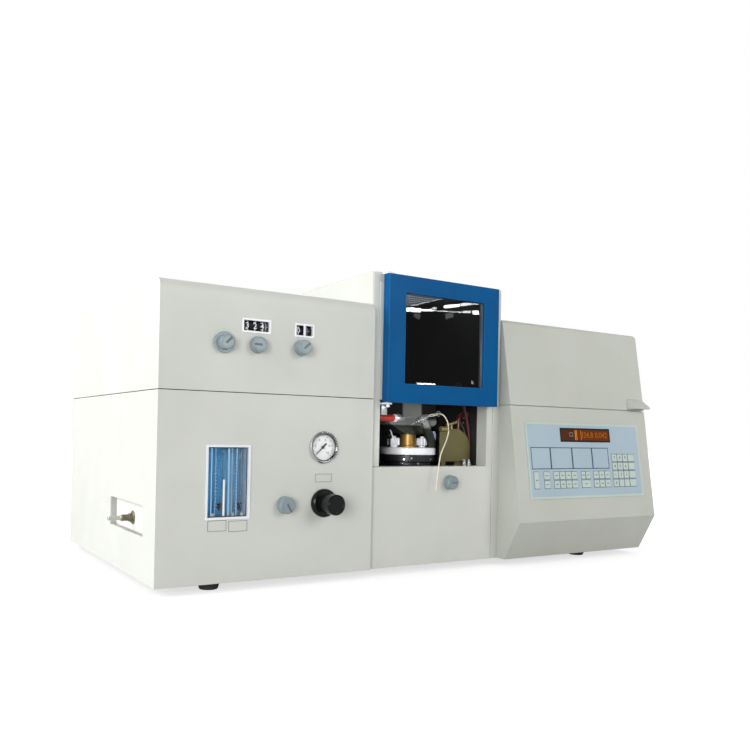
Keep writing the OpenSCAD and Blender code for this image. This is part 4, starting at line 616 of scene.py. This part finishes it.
# %% Dress the CAD nodes
NODE_FINISHES = {
    cabinet_paint: "left_housing left_cover rear_panel bay_housing front_panel",
    console_paint: "right_housing lid finger_lip",
    recess_paint: "gas_recess",
    dark_enamel: "base_plates bay_liner",
    black_rubber: "feet",
    inlet_brass: "gas_inlet",
    brass: "shaft_bushes burner_stem",
    fitting_brass: "gas_fittings",
    gold_plate: "gas_bracket",
    steel: "flow_screws carriage_rails lid_hinge",
    chrome: "gauge_case",
    aluminium: "lamp_bench carriage",
    burner_steel: "burner_head",
    nebulizer_steel: "nebulizer",
    black_plastic: "mains_inlet regulator_body regulator_knob",
    black_matte: "lens_barrel gauge_needle fuel_float air_float",
    chamber_black: "spray_chamber",
    drum_black: "units_drum tens_drum hundreds_drum slit_drum",
    grey_knob: "gain_knob wavelength_knob slit_knob fuel_knob burner_knob",
    white_plastic: "counter_frame slit_frame flow_frame door_brackets thumb_nuts",
    white_ceramic: "burner_flange",
    dial_white: "gauge_dial",
    overlay: "keypad",
    key_plastic: "keys",
    blue_plastic: "door_frame",
    red_rubber: "igniter",
    red_hose: "gas_hose",
    tube_plastic: "capillary",
    clear_glass: "lamp",
    gauge_pane: "gauge_glass",
    smoked_glass: "door_glass",
    blue_acrylic: "flow_blocks",
    amber_window: "display",
}
for material, node_names in NODE_FINISHES.items():
    for node_name in node_names.split():
        for material_slot in nodes[node_name].material_slots:
            material_slot.material = material
capillary_mesh.materials.append(tube_plastic)
print("dressed", sum(len(names.split()) for names in NODE_FINISHES.values()), "of", len(nodes), "nodes")

# %% [markdown]
# Each knob has a dark pointer line let into its cap, and a wider printed mark behind it. Both ride on the
# knob, so that they turn with it. Each entry gives the knob's place, its cap's diameter, its height and where
# it points.

# %% Pointer lines of the knobs
LINE_HALF, MARK_HALF = 0.75, 1.7
KNOBS = {
    "gain_knob": ((96, 0, 354), 22.6, 16, 45), "wavelength_knob": ((149, 0, 354), 24, 14, 180),
    "slit_knob": ((223, 0, 355), 24, 17, 40), "fuel_knob": ((200, 0, 112), 26, 15, -60),
    "burner_knob": ((525, 7, 141), 24.7, 14.5, 0),
}
for knob_name, (knob_place, cap_d, top, line_angle) in KNOBS.items():
    place = front(*knob_place) @ turned_by(line_angle)
    line = block((cap_d / 8 + 0.1, -LINE_HALF, top - 0.75), (cap_d / 2 - 1.9, LINE_HALF, top - 0.1))
    mark = block((-cap_d / 8, -MARK_HALF, top - 0.05), (cap_d / 2 - 2.0, MARK_HALF, top + 0.06), 0.04, 1)
    piece(knob_name + "_line", [(line, place)], print_grey, knob_name)
    piece(knob_name + "_mark", [(mark, place)], print_and_shade_mark, knob_name)

# %% [markdown]
# The drums carry plain figures, 36 degrees apart. Flat figures are cut across in narrow strips and wrapped
# round the drum, because a flat plate would stand off its curve. The fastest drum and the slit's have fine
# lines too, every fifth of them longer.

# %% Figures on the drums
AXLE_Z = 382.5
STRIP_HIGH = 0.9
COUNTER_Y, COUNTER_RADIUS = 17, 14.0
SLIT_Y, SLIT_RADIUS = 15, 12.0


def wrapped(shape, radius):
    for strip_number in range(-4, 5):
        bmesh.ops.bisect_plane(shape, geom=shape.verts[:] + shape.edges[:] + shape.faces[:],
                               plane_co=(0, strip_number * STRIP_HIGH, 0), plane_no=(0, 1, 0))
    for vertex in shape.verts:
        turn = vertex.co.y / radius
        reach = radius + vertex.co.z
        vertex.co = (vertex.co.x, -reach * math.cos(turn), reach * math.sin(turn))
    return shape


def drum_place(x, y, degrees):
    return moved(x, y, AXLE_Z) @ turned_by(degrees, "X")


def drum_lines(x, y, radius, count, long, short):
    return [(wrapped(block((0, -0.25, 0), (long if step % 5 == 0 else short, 0.25, 0.1)), radius),
             drum_place(x, y, 360 / count * step)) for step in range(count)]


COUNTER_X = 149 - 1 - 41.4 / 2
DRUMS = {"hundreds_drum": (COUNTER_X + 6.7, 3), "tens_drum": (COUNTER_X + 19.5, 2),
         "units_drum": (COUNTER_X + 31.2, 4)}
for drum_name, (x, shown) in DRUMS.items():
    marks = [(wrapped(figures(str((shown + step) % 10), 8.8), COUNTER_RADIUS),
              drum_place(x, COUNTER_Y, -36 * step)) for step in range(10)]
    if drum_name == "units_drum":
        marks += drum_lines(COUNTER_X + 35.4, COUNTER_Y, COUNTER_RADIUS, 50, 4.6, 2.8)
    piece(drum_name + "_figures", marks, print_and_reflection_white, drum_name)

SLIT_X = 229 - 28.2 / 2
slit_marks = [(wrapped(figures(str(step % 6), 7.8), SLIT_RADIUS), drum_place(SLIT_X + 5, SLIT_Y, 36 * step))
              for step in range(10)]
slit_marks += drum_lines(SLIT_X + 18, SLIT_Y, SLIT_RADIUS, 40, 5.6, 3.4)
piece("slit_drum_figures", slit_marks, print_and_reflection_white, "slit_drum")

# %% [markdown]
# The pressure gauge has a scale of ten parts over three quarters of a turn, with plain figures inside it and
# a dark ring between dial and bezel.

# %% Gauge scale
GAUGE = front(267, 0, 201)
DIAL_FACE = -3.2
SCALE_START, SCALE_TURN = 225, 270
SCALE_RADIUS, FIGURE_RADIUS = 19.6, 12.6
gauge_marks = []
for step in range(51):
    inner, half = (16.0, 0.34) if step % 5 == 0 else (17.8, 0.16)
    bar = block((inner, -half, DIAL_FACE - 0.05), (SCALE_RADIUS, half, DIAL_FACE + 0.06))
    gauge_marks.append((bar, GAUGE @ turned_by(SCALE_START - SCALE_TURN / 50 * step)))
for step in range(6):
    angle = math.radians(SCALE_START - SCALE_TURN / 5 * step)
    spot = (FIGURE_RADIUS * math.cos(angle), FIGURE_RADIUS * math.sin(angle), DIAL_FACE + 0.02)
    gauge_marks.append((figures(str(step * 2), 3.8, 0.08), GAUGE @ moved(*spot)))
piece("gauge_scale", gauge_marks, print_grey)
piece("gauge_ring", [(ring(20.3, 21.4, 1.0, 1.9, 64), GAUGE)], black_matte)

# %% [markdown]
# The flow meter is two acrylic blocks with a tapered bore each. Their graduations are printed on the front,
# and a tinted plate behind each block lets the light come back through the blue. Pale stripes and a white bar
# on the front are painted reflections of the bores, a dark line beside the air bore is painted shade, and a
# dark outline round the blocks is painted shade in the gap to the frame.

# %% Flow meter details
BORES = (99.0, 130.7)
LAYER_BACK, LAYER_FRONT = 3.02, 2.9
BAR_BACK, BAR_FRONT = 3.0, 2.88
flow_marks = []
for bore_x in BORES:
    right = bore_x - 7.5
    for step in range(15):
        reach = 5.0 if step % 5 == 0 else 3.0
        low = 109 + step * 5.2
        flow_marks.append(block((right - reach, LAYER_FRONT, low), (right, LAYER_BACK, low + 0.45)))
    for step in range(3):
        flow_marks.append((figures(str(step + 1), 3.2, 0.1), front(bore_x - 16.5, 2.97, 109.4 + step * 26)))
piece("flow_scale", flow_marks, print_and_reflection_white)

backing_blue = finish("backing_blue", (0.14, 0.52, 0.88), (0.11, 0.45, 0.8), 0.5)
backing_grey = finish("backing_grey", (0.36, 0.54, 0.74), (0.29, 0.47, 0.67), 0.5)
piece("flow_backing", [block((76.4, 27.2, 97.3), (107.4, 28.4, 199.7), 0.2)], backing_blue)
piece("flow_backing_air", [block((107.6, 27.2, 97.3), (138.6, 28.4, 199.7), 0.2)], backing_grey)
# The dark outline is painted shade in the gap between the blocks and the white frame.
gap_shade_outline = outline((76.5, 97.5), (138.5, 199.5), 1.1, 0.2)
piece("flow_gap_shade", [(gap_shade_outline, front(0, 2.98, 0))], black_matte)

# The pale stripes, the white bar and the dark line below are painted reflections and painted shade of the
# bores, not print.
bore_sheen_paint = finish("bore_sheen_paint", (0.36, 0.62, 0.86), (0.28, 0.54, 0.8), 0.4)
STRIPES = ((82, 1.6), (88.5, 0.8), (108.5, 2.2), (114, 1.0), (121.5, 1.4))
stripes = [block((x, LAYER_FRONT, 98), (x + width, LAYER_BACK, 199)) for x, width in STRIPES]
piece("flow_bore_sheen", stripes, bore_sheen_paint)
piece("flow_bore_reflection", [block((100.8, BAR_FRONT, 98.6), (103.8, BAR_BACK, 152), 0.05, 1)], print_and_reflection_white)
piece("flow_bore_shade", [block((126.2, BAR_FRONT, 116), (128.0, BAR_BACK, 184), 0.05, 1)], print_and_shade_mark)

# %% [markdown]
# Below the flow meter and above the regulator are small framed labels. They are left bare.

# %% Bare label frames
LABELS = [((77, 76.6), (106, 92.6)), ((109.5, 75), (139.3, 91)), ((253, 146), (283, 159))]
label_lines = [(outline(low, high, 0.7, 0.12), front(0, 0.02, 0)) for low, high in LABELS]
piece("label_frames", label_lines, print_grey)

# %% [markdown]
# The keypad is a printed sheet: a pale border, four fields framed in dark blue, a thin line round every key,
# and plain figures on the number keys. Each print is a tenth of a millimetre thick and lies on the sheet or
# the key, so that it catches the light as real ink does.

# %% Keypad print
INK = 0.1
FIELD_LOW, FIELD_HIGH = -118.5, -77.5
FIELDS = [40.5, 90, 147, 201.5, 248]
ON_PAD = ON_SLOPE @ moved(0, 0, 1.0)
print_blue = finish("print_blue", (0.022, 0.045, 0.095), (0.03, 0.055, 0.11), 0.5)
print_pale = finish("print_pale", (0.5, 0.58, 0.52), (0.46, 0.54, 0.48), 0.5)
border = outline((31.2, -173.8), (341.8, -30.2), 4.4, INK)
piece("keypad_border", [(border, ON_PAD)], print_pale)
field_lines = [(outline((left, FIELD_LOW), (right, FIELD_HIGH), 1.5, INK), ON_PAD)
               for left, right in zip(FIELDS, FIELDS[1:])]
field_lines += [(block((middle - 1.6, FIELD_LOW, 0), (middle + 1.6, FIELD_HIGH, 0.11)), ON_PAD)
                for middle in FIELDS[1:-1]]
piece("keypad_fields", field_lines, print_blue)

# %% [markdown]
# The keys' places follow the CAD model: rows 16.6 mm apart and columns on a pitch of 15.8 mm. Only the number
# keys, at the right, get figures. The others get a plain bar.

# %% Key outlines and figures
PAD_LEFT, PAD_TOP, FIRST_ROW = 31, -30, 60.5
KEY_PITCH, KEY_ROW, KEY_WIDE, KEY_HIGH = 15.8, 16.6, 13.4, 13.6
NUMBERS_X = 226
KEY_GAP = 1.1


def key_corner(x, row, rows=1):
    return PAD_LEFT + x, PAD_TOP - FIRST_ROW - row * KEY_ROW - KEY_HIGH - (rows - 1) * KEY_ROW


keys_at = [(12.7, 2, KEY_WIDE - 2, 2), (136, 3, 22.8, 1), (136, 2, 10.2, 1), (148.6, 2, 10.2, 1)]
for row in (2, 3):
    keys_at += [(38, row, KEY_WIDE, 1)]
    keys_at += [(62.7 + i * KEY_PITCH, row, KEY_WIDE, 1) for i in range(4)]
    keys_at += [(170 + i * KEY_PITCH, row, KEY_WIDE, 1) for i in range(3)]
for row in range(4):
    keys_at += [(NUMBERS_X + i * KEY_PITCH, row, KEY_WIDE, 1) for i in range(3)]
    keys_at += [(NUMBERS_X + 3 * KEY_PITCH, row, KEY_WIDE + 4, 1)]
ON_KEY = ON_SLOPE @ moved(0, 0, 1.83)
key_lines = []
key_blanks = []
for x, row, width, rows in keys_at:
    left, low = key_corner(x, row, rows)
    high = low + KEY_HIGH + (rows - 1) * KEY_ROW
    line = outline((left - KEY_GAP, low - KEY_GAP), (left + width + KEY_GAP, high + KEY_GAP), 1.0, INK)
    key_lines.append((line, ON_PAD))
    if x < NUMBERS_X:
        middle = left + width / 2
        level = (low + high) / 2
        key_blanks.append((block((middle - 3, level - 0.8, 0), (middle + 3, level + 0.8, INK)), ON_KEY))
print_slate = finish("print_slate", (0.11, 0.17, 0.21), (0.15, 0.21, 0.25), 0.5)
piece("key_outlines", key_lines, print_slate)
piece("key_blanks", key_blanks, print_slate)

key_marks = []
for index, label in enumerate("7894561230"):
    left, low = key_corner(NUMBERS_X + index % 3 * KEY_PITCH, index // 3)
    middle = moved(left + KEY_WIDE / 2, low + KEY_HIGH / 2, 0)
    key_marks.append((figures(label, 6.0, INK), ON_KEY @ middle))
piece("key_figures", key_marks, print_grey)

# %% [markdown]
# The display is a sunk dark red window in a black frame. Its figures glow amber, its right part a little, and
# three narrow strips at the left of them are brighter.

# %% Display
def glow(name, color, light, strength):
    material, tree, shader = new_material(name)
    flicker = add_node(tree, "Group", {"Scale": 500}, node_tree=grain).outputs["Height"]
    dull = [value * 0.55 for value in light]
    set_inputs(tree, shader, {
        "Base Color": (*color, 1), "Specular IOR Level": 0.02, "Emission Strength": strength,
        "Emission Color": mix_colors(tree, flicker, (*light, 1), (*dull, 1))})
    return material


strip_glow = glow("strip_glow", (0.1, 0.03, 0.005), (1.0, 0.34, 0.04), 0.75)
amber_glow = glow("amber_glow", (0.1, 0.03, 0.005), (1.0, 0.3, 0.03), 0.32)
lit_glow = glow("lit_glow", (0.03, 0.008, 0.003), (1.0, 0.25, 0.03), 0.14)
dim_glow = glow("dim_glow", (0.03, 0.01, 0.005), (1.0, 0.3, 0.08), 0.075)
LIT_LEFT = 160
ON_WINDOW = ON_SLOPE @ moved(0, 0, 0.5)
piece("display_frame", [(outline((119.8, -66.7), (257.2, -40.3), 3.2, 0.45), ON_WINDOW)], drum_black)
piece("display_field", [(block((123, -64, 0), (LIT_LEFT, -43, 0.08)), ON_WINDOW)], dim_glow)
piece("display_lit_field", [(block((LIT_LEFT, -64, 0), (254, -43, 0.08)), ON_WINDOW)], lit_glow)
display_figures = [(figures(text, 11.0, 0.1), ON_WINDOW @ moved(x, -53.5, 0.14))
                   for text, x in (("324.8", 193), ("0.042", 233))]
piece("display_figures", display_figures, amber_glow)
display_strips = [(block((x, -63, 0.05), (x + width, -44, 0.12)), ON_WINDOW)
                  for x, width in ((LIT_LEFT, 2.6), (164, 2.0), (176, 1.2))]
piece("display_strips", display_strips, strip_glow)
display_sign = outline((145, -56.5), (155, -48.5), 1.6, 0.1)
piece("display_sign", [(display_sign, ON_WINDOW @ moved(0, 0, 0.05))], print_and_shade_mark)

# %% [markdown]
# A perforated guard lies on the pane, cut away in the middle so that the flame can be watched. The faces
# of a grid are inset and their middles deleted, which leaves a web with square holes.

# %% Perforated guard of the door
GUARD_Y = -7.6
CUT_LEFT, CUT_RIGHT, CUT_TOP, CUT_RISE = 412, 580.5, 439, 0.265
guard = bmesh.new()
bmesh.ops.create_grid(guard, x_segments=50, y_segments=44, size=1)
bmesh.ops.scale(guard, vec=(85.6, 75.6, 1), verts=guard.verts)
bmesh.ops.translate(guard, vec=(498, 385, 0), verts=guard.verts)
cut_away = []
for cell in guard.faces:
    middle = cell.calc_center_median()
    if CUT_LEFT + 3.5 < middle.x < CUT_RIGHT and middle.y < CUT_TOP + (middle.x - CUT_LEFT) * CUT_RISE:
        cut_away.append(cell)
bmesh.ops.delete(guard, geom=cut_away, context="FACES")
holes = guard.faces[:]
bmesh.ops.inset_individual(guard, faces=holes, thickness=0.62)
bmesh.ops.delete(guard, geom=holes, context="FACES_ONLY")
guard_paint = finish("guard_paint", (0.4, 0.44, 0.49), (0.2, 0.24, 0.29), 0.5)
piece("door_guard", [(guard, front(0, GUARD_Y, 0))], guard_paint, "door")

# %% [markdown]
# A dark strip fills the seam between the left cabinet's case and its cover. It is painted shade in the gap,
# in the feet's black rubber finish.

# %% Painted shade in the seam of the left cabinet
SEAM_LOW, SEAM_HIGH = 280.84, 281.96
seam_shade_strip = outline((0.45, 0.45), (359.5, 542.5), 1.2, SEAM_HIGH - SEAM_LOW)
piece("seam_shade_strip", [(seam_shade_strip, moved(0, 0, SEAM_LOW))], black_rubber)

# %% [markdown]
# The door closes on a strip at its left edge, and a small catch sits below it.

# %% Door stop and catch
piece("door_stop", [block((372, 5.1, 281), (386, 6.9, 478), 0.4)], cabinet_paint)
piece("door_catch", [block((384.5, 14, 256), (396.5, 26, 276), 0.8)], aluminium)

# %% [markdown]
# The igniter's red boot ends in a white collar and a metal fitting, from which the thin electrode reaches
# towards the burner. A curved line of gas hose and small screws fill the right side of the bay.

# %% Igniter tip and gas line details
IGNITER = moved(377, 44, 252) @ turned_by(90, "Y")
BAY_FLOOR = 167.1
BAY_RIGHT = 612
BUTTON_HEAD = [(0, 0), (2.4, 0), (2.4, 0.8), (1.4, 1.7), (0, 1.7)]
CONNECTOR = [(0, 0), (4.6, 0), (4.6, 4), (3.4, 5), (3.4, 9), (2.2, 10), (2.2, 13), (0, 13)]
collar = turned([(0, 52.5), (6.9, 52.5), (7.2, 53.2), (7.2, 57), (6.4, 58), (0, 58)], 32)
piece("igniter_collar", [(collar, IGNITER)], white_plastic)
fitting = turned([(0, 58), (6.6, 58), (8.0, 59.5), (8.0, 64), (6.8, 64.6), (6.8, 67), (5.6, 69), (3.6, 70.5),
                  (3.6, 74), (0, 74)], 32)
electrode = turned([(0, 0), (1.25, 0), (1.25, 22), (0.6, 23), (0, 23)], 16)
piece("igniter_fitting", [(fitting, IGNITER), (electrode, toward((445, 44, 252.6), (24, 0, 5)))],
      nebulizer_metal)
second_hose = tube([(x, 52.3, z) for x, z in ((591, 285), (597, 268), (603, 246), (606.8, 222), (607.6, 196),
                                              (607.6, 168))], 3.1)
piece("second_hose", [second_hose], red_hose)
wire = tube([(568, 43.6, 251), (577, 43, 248), (585, 43, 238), (591, 43.6, 226)], 0.7)
piece("gas_wire", [wire], gold_plate)
wall_screws = [(turned(BUTTON_HEAD, 24), toward((BAY_RIGHT, y, z), (-1, 0, 0)))
               for y, z in ((77, 248), (61, 249), (62, 237))]
piece("bay_fittings", wall_screws, chrome)
connectors = [(turned(CONNECTOR, 24), moved(x, 39.5, BAY_FLOOR)) for x in (586, 597)]
piece("hose_connectors", connectors, nebulizer_metal)

# %% [markdown]
# On the burner's flange stand a black ball knob, a wire bail and a pale clamp post, and bright screws hold
# the spray chamber together. Their entries give the angle round the chamber, the radius and the height.

# %% Burner flange details
FLANGE_TOP = 200.5
BURNER_X, BURNER_Y = 500, 98
BALL_RADIUS, BALL_MIDDLE = 7, 222
BALL_PLACE = moved(452.5, 89, 0)
CHAMBER_SCREWS = ((-118, 50, 181), (-133, 50, 179.5), (-70, 50, 180), (-100, 44, 171.5), (-140, 44, 171.5))
ball = [(BALL_RADIUS * math.sin(math.pi * step / 12),
         BALL_MIDDLE - BALL_RADIUS * math.cos(math.pi * step / 12)) for step in range(13)]
ball[0], ball[-1] = (0, BALL_MIDDLE - BALL_RADIUS), (0, BALL_MIDDLE + BALL_RADIUS)
ball_stem = rod(2, FLANGE_TOP, 216, 16)
piece("flange_knob", [(turned(ball, 32), BALL_PLACE), (ball_stem, BALL_PLACE)], black_plastic,
      "burner_carriage")
bail = tube([(449, 82, 232), (448.6, 77, 226), (450, 73.5, 216), (453.5, 72.5, 207), (458, 73, 202)], 1.0)
piece("flange_bail", [bail], white_plastic, "burner_carriage")
pale_blue = finish("pale_blue", (0.6, 0.64, 0.86), (0.1, 0.14, 0.36), 0.22, coat=0.3)
post = turned([(0, 0), (5.4, 0), (5.4, 3), (4.7, 4), (4.7, 25), (3.4, 27), (3.4, 30), (0, 30)], 32)
piece("clamp_post", [(post, moved(545, 80, FLANGE_TOP))], pale_blue, "burner_carriage")
chamber_screws = []
for angle, radius, height in CHAMBER_SCREWS:
    way = Vector((math.cos(math.radians(angle)), math.sin(math.radians(angle)), 0))
    spot = Vector((BURNER_X, BURNER_Y, height)) + way * (radius - 0.1)
    chamber_screws.append((turned(BUTTON_HEAD, 24), toward(spot, way)))
piece("chamber_screws", chamber_screws, chrome, "burner_carriage")

# %% [markdown]
# The gas inlet's barrel is threaded. The thread is drawn as separate rings, fine enough to look the same.

# %% Thread of the gas inlet
THREAD_START, THREAD_PITCH = 8, 1.6
thread = [(4.4, THREAD_START)]
for turn in range(7):
    low = THREAD_START + turn * THREAD_PITCH
    thread += [(4.5, low), (5.2, low + 0.5), (5.2, low + 0.9), (4.5, low + 1.4)]
thread += [(4.4, 19.3), (4.4, THREAD_START)]
piece("inlet_thread", [(turned(thread, 40), toward((10, 144, 86), (-1, 0, 0)))], inlet_brass)

# %% [markdown]
# The hollow cathode lamp under the lid shows its cathode between two mica discs, on rods from a black base,
# with a steel sleeve on each of the eight pins.

# %% Inside the lamp
LAMP = moved(730, 98, 310) @ turned_by(90, "Y")
BASE_START, BASE_END = 119, 150.3


def lamp_place(degrees, radius):
    return LAMP @ turned_by(degrees) @ moved(radius, 0, 0)


base_profile = [(16.4, BASE_START), (16.9, BASE_START), (16.9, BASE_END), (0, BASE_END), (0, 150.05),
                (16.4, 150.05), (16.4, BASE_START)]
piece("lamp_base", [(turned(base_profile, 48), LAMP)], black_plastic)
pin_profile = [(0, 150.2), (1.3, 150.2), (1.3, 160.6), (0.8, 161.2), (0, 161.2)]
pins = [(turned(pin_profile, 16), lamp_place(45 * number, 9)) for number in range(8)]
piece("lamp_pins", pins, steel)
discs = [(ring(5, 15.5, low, low + 0.8, 48), LAMP) for low in (58, 92)]
piece("lamp_discs", discs, white_ceramic)
cathode = turned([(3, 56), (5, 56), (6.5, 59), (6.5, 94), (0, 94), (0, 72), (3, 72), (3, 56)], 32)
rods = [(rod(0.8, 59, BASE_START, 12), lamp_place(turn, 11)) for turn in (90, 270)]
piece("lamp_cathode", [(cathode, LAMP)] + rods, nebulizer_metal)

# %% [markdown]
# The back isn't in the photograph. It gets what such instruments have there: cross-head screws, a fuse
# holder, an earth stud with its nut, a data socket, and brass blades in the mains inlet.

# %% Rear details
BACK_Y, ROW_Z = 545, 46
INLET_X = 950


def on_back(x, z=ROW_Z, y=BACK_Y):
    return toward((x, y, z), (0, 1, 0))


screws = [(x, z, BACK_Y, 3.6) for x in (14, 250, 505, 996) for z in (10, 248)]
screws += [(760, 10, BACK_Y, 3.6)]
screws += [(x, ROW_Z, BACK_Y + 2, 2.7) for x in (INLET_X - 20, INLET_X + 20)]
screws += [(start + step, 270, BACK_Y + 2, 2.7) for start in (690, 870) for step in (14, 45, 76)]
heads = []
crosses = []
for x, z, y, radius in screws:
    head = turned([(0, 0), (radius, 0), (radius, 0.6), (radius * 0.72, 1.5), (0, 1.7)], 24)
    heads.append((head, on_back(x, z, y)))
    long, short = radius * 0.5, radius * 0.13
    for wide, high in ((long, short), (short, long)):
        crosses.append((block((-wide, -high, 1.2), (wide, high, 1.74)), on_back(x, z, y)))
piece("rear_screws", heads, steel)
piece("rear_screw_crosses", crosses, black_matte)
blades = [block((INLET_X + x - 1.1, 528.9, ROW_Z + z - 2.1), (INLET_X + x + 1.1, 541.2, ROW_Z + z + 2.1), 0.3)
          for x, z in ((-7, -2), (7, -2), (0, 3))]
piece("inlet_blades", blades, brass)
FUSE_PLACE, EARTH_PLACE, SOCKET_PLACE = on_back(900), on_back(992), on_back(840)
fuse = turned([(0, 0), (9, 0), (9, 1.2), (7, 1.6), (6.6, 7), (5.8, 7.8), (0, 7.8)], 32)
piece("fuse_holder", [(fuse, FUSE_PLACE)], black_plastic)
piece("fuse_slot", [(block((-5, -0.6, 7.4), (5, 0.6, 7.86)), FUSE_PLACE)], print_grey)
washer = ring(2, 6.5, 0, 1.0, 32)
earth_nut = turned([(2.05, 1.0), (5.0, 1.0), (5.0, 4.4), (4.6, 4.8), (2.05, 4.8), (2.05, 1.0)], 6)
stud = turned([(0, 0), (2, 0), (2, 7.6), (1.5, 8.2), (0, 8.2)], 24)
piece("earth_terminal", [(shape, EARTH_PLACE) for shape in (washer, earth_nut, stud)], brass)
socket_shell = [(block((-26.5, -6.2, 0), (26.5, 6.2, 1.0), 0.3), SOCKET_PLACE),
                (outline((-19.5, -4.2), (19.5, 4.2), 0.7, 5.0), SOCKET_PLACE)]
socket_shell += [(turned([(0, 1.0), (2.7, 1.0), (2.7, 5.4), (1.5, 5.4), (1.5, 3), (0, 3)], 6),
                  SOCKET_PLACE @ moved(x, 0, 0)) for x in (-23.5, 23.5)]
piece("data_socket_shell", socket_shell, steel)
piece("data_socket_core", [(block((-18.8, -3.5, 1.0), (18.8, 3.5, 4.4), 0.3), SOCKET_PLACE)], black_plastic)
contacts = [(rod(0.6, 0, 4.5, 12), SOCKET_PLACE @ moved(x * 2.76 + shift, y, 0))
            for y, shift, count in ((1.4, 0, 13), (-1.4, 1.38, 12))
            for x in range(-6, count - 6)]
piece("data_socket_contacts", contacts, brass)
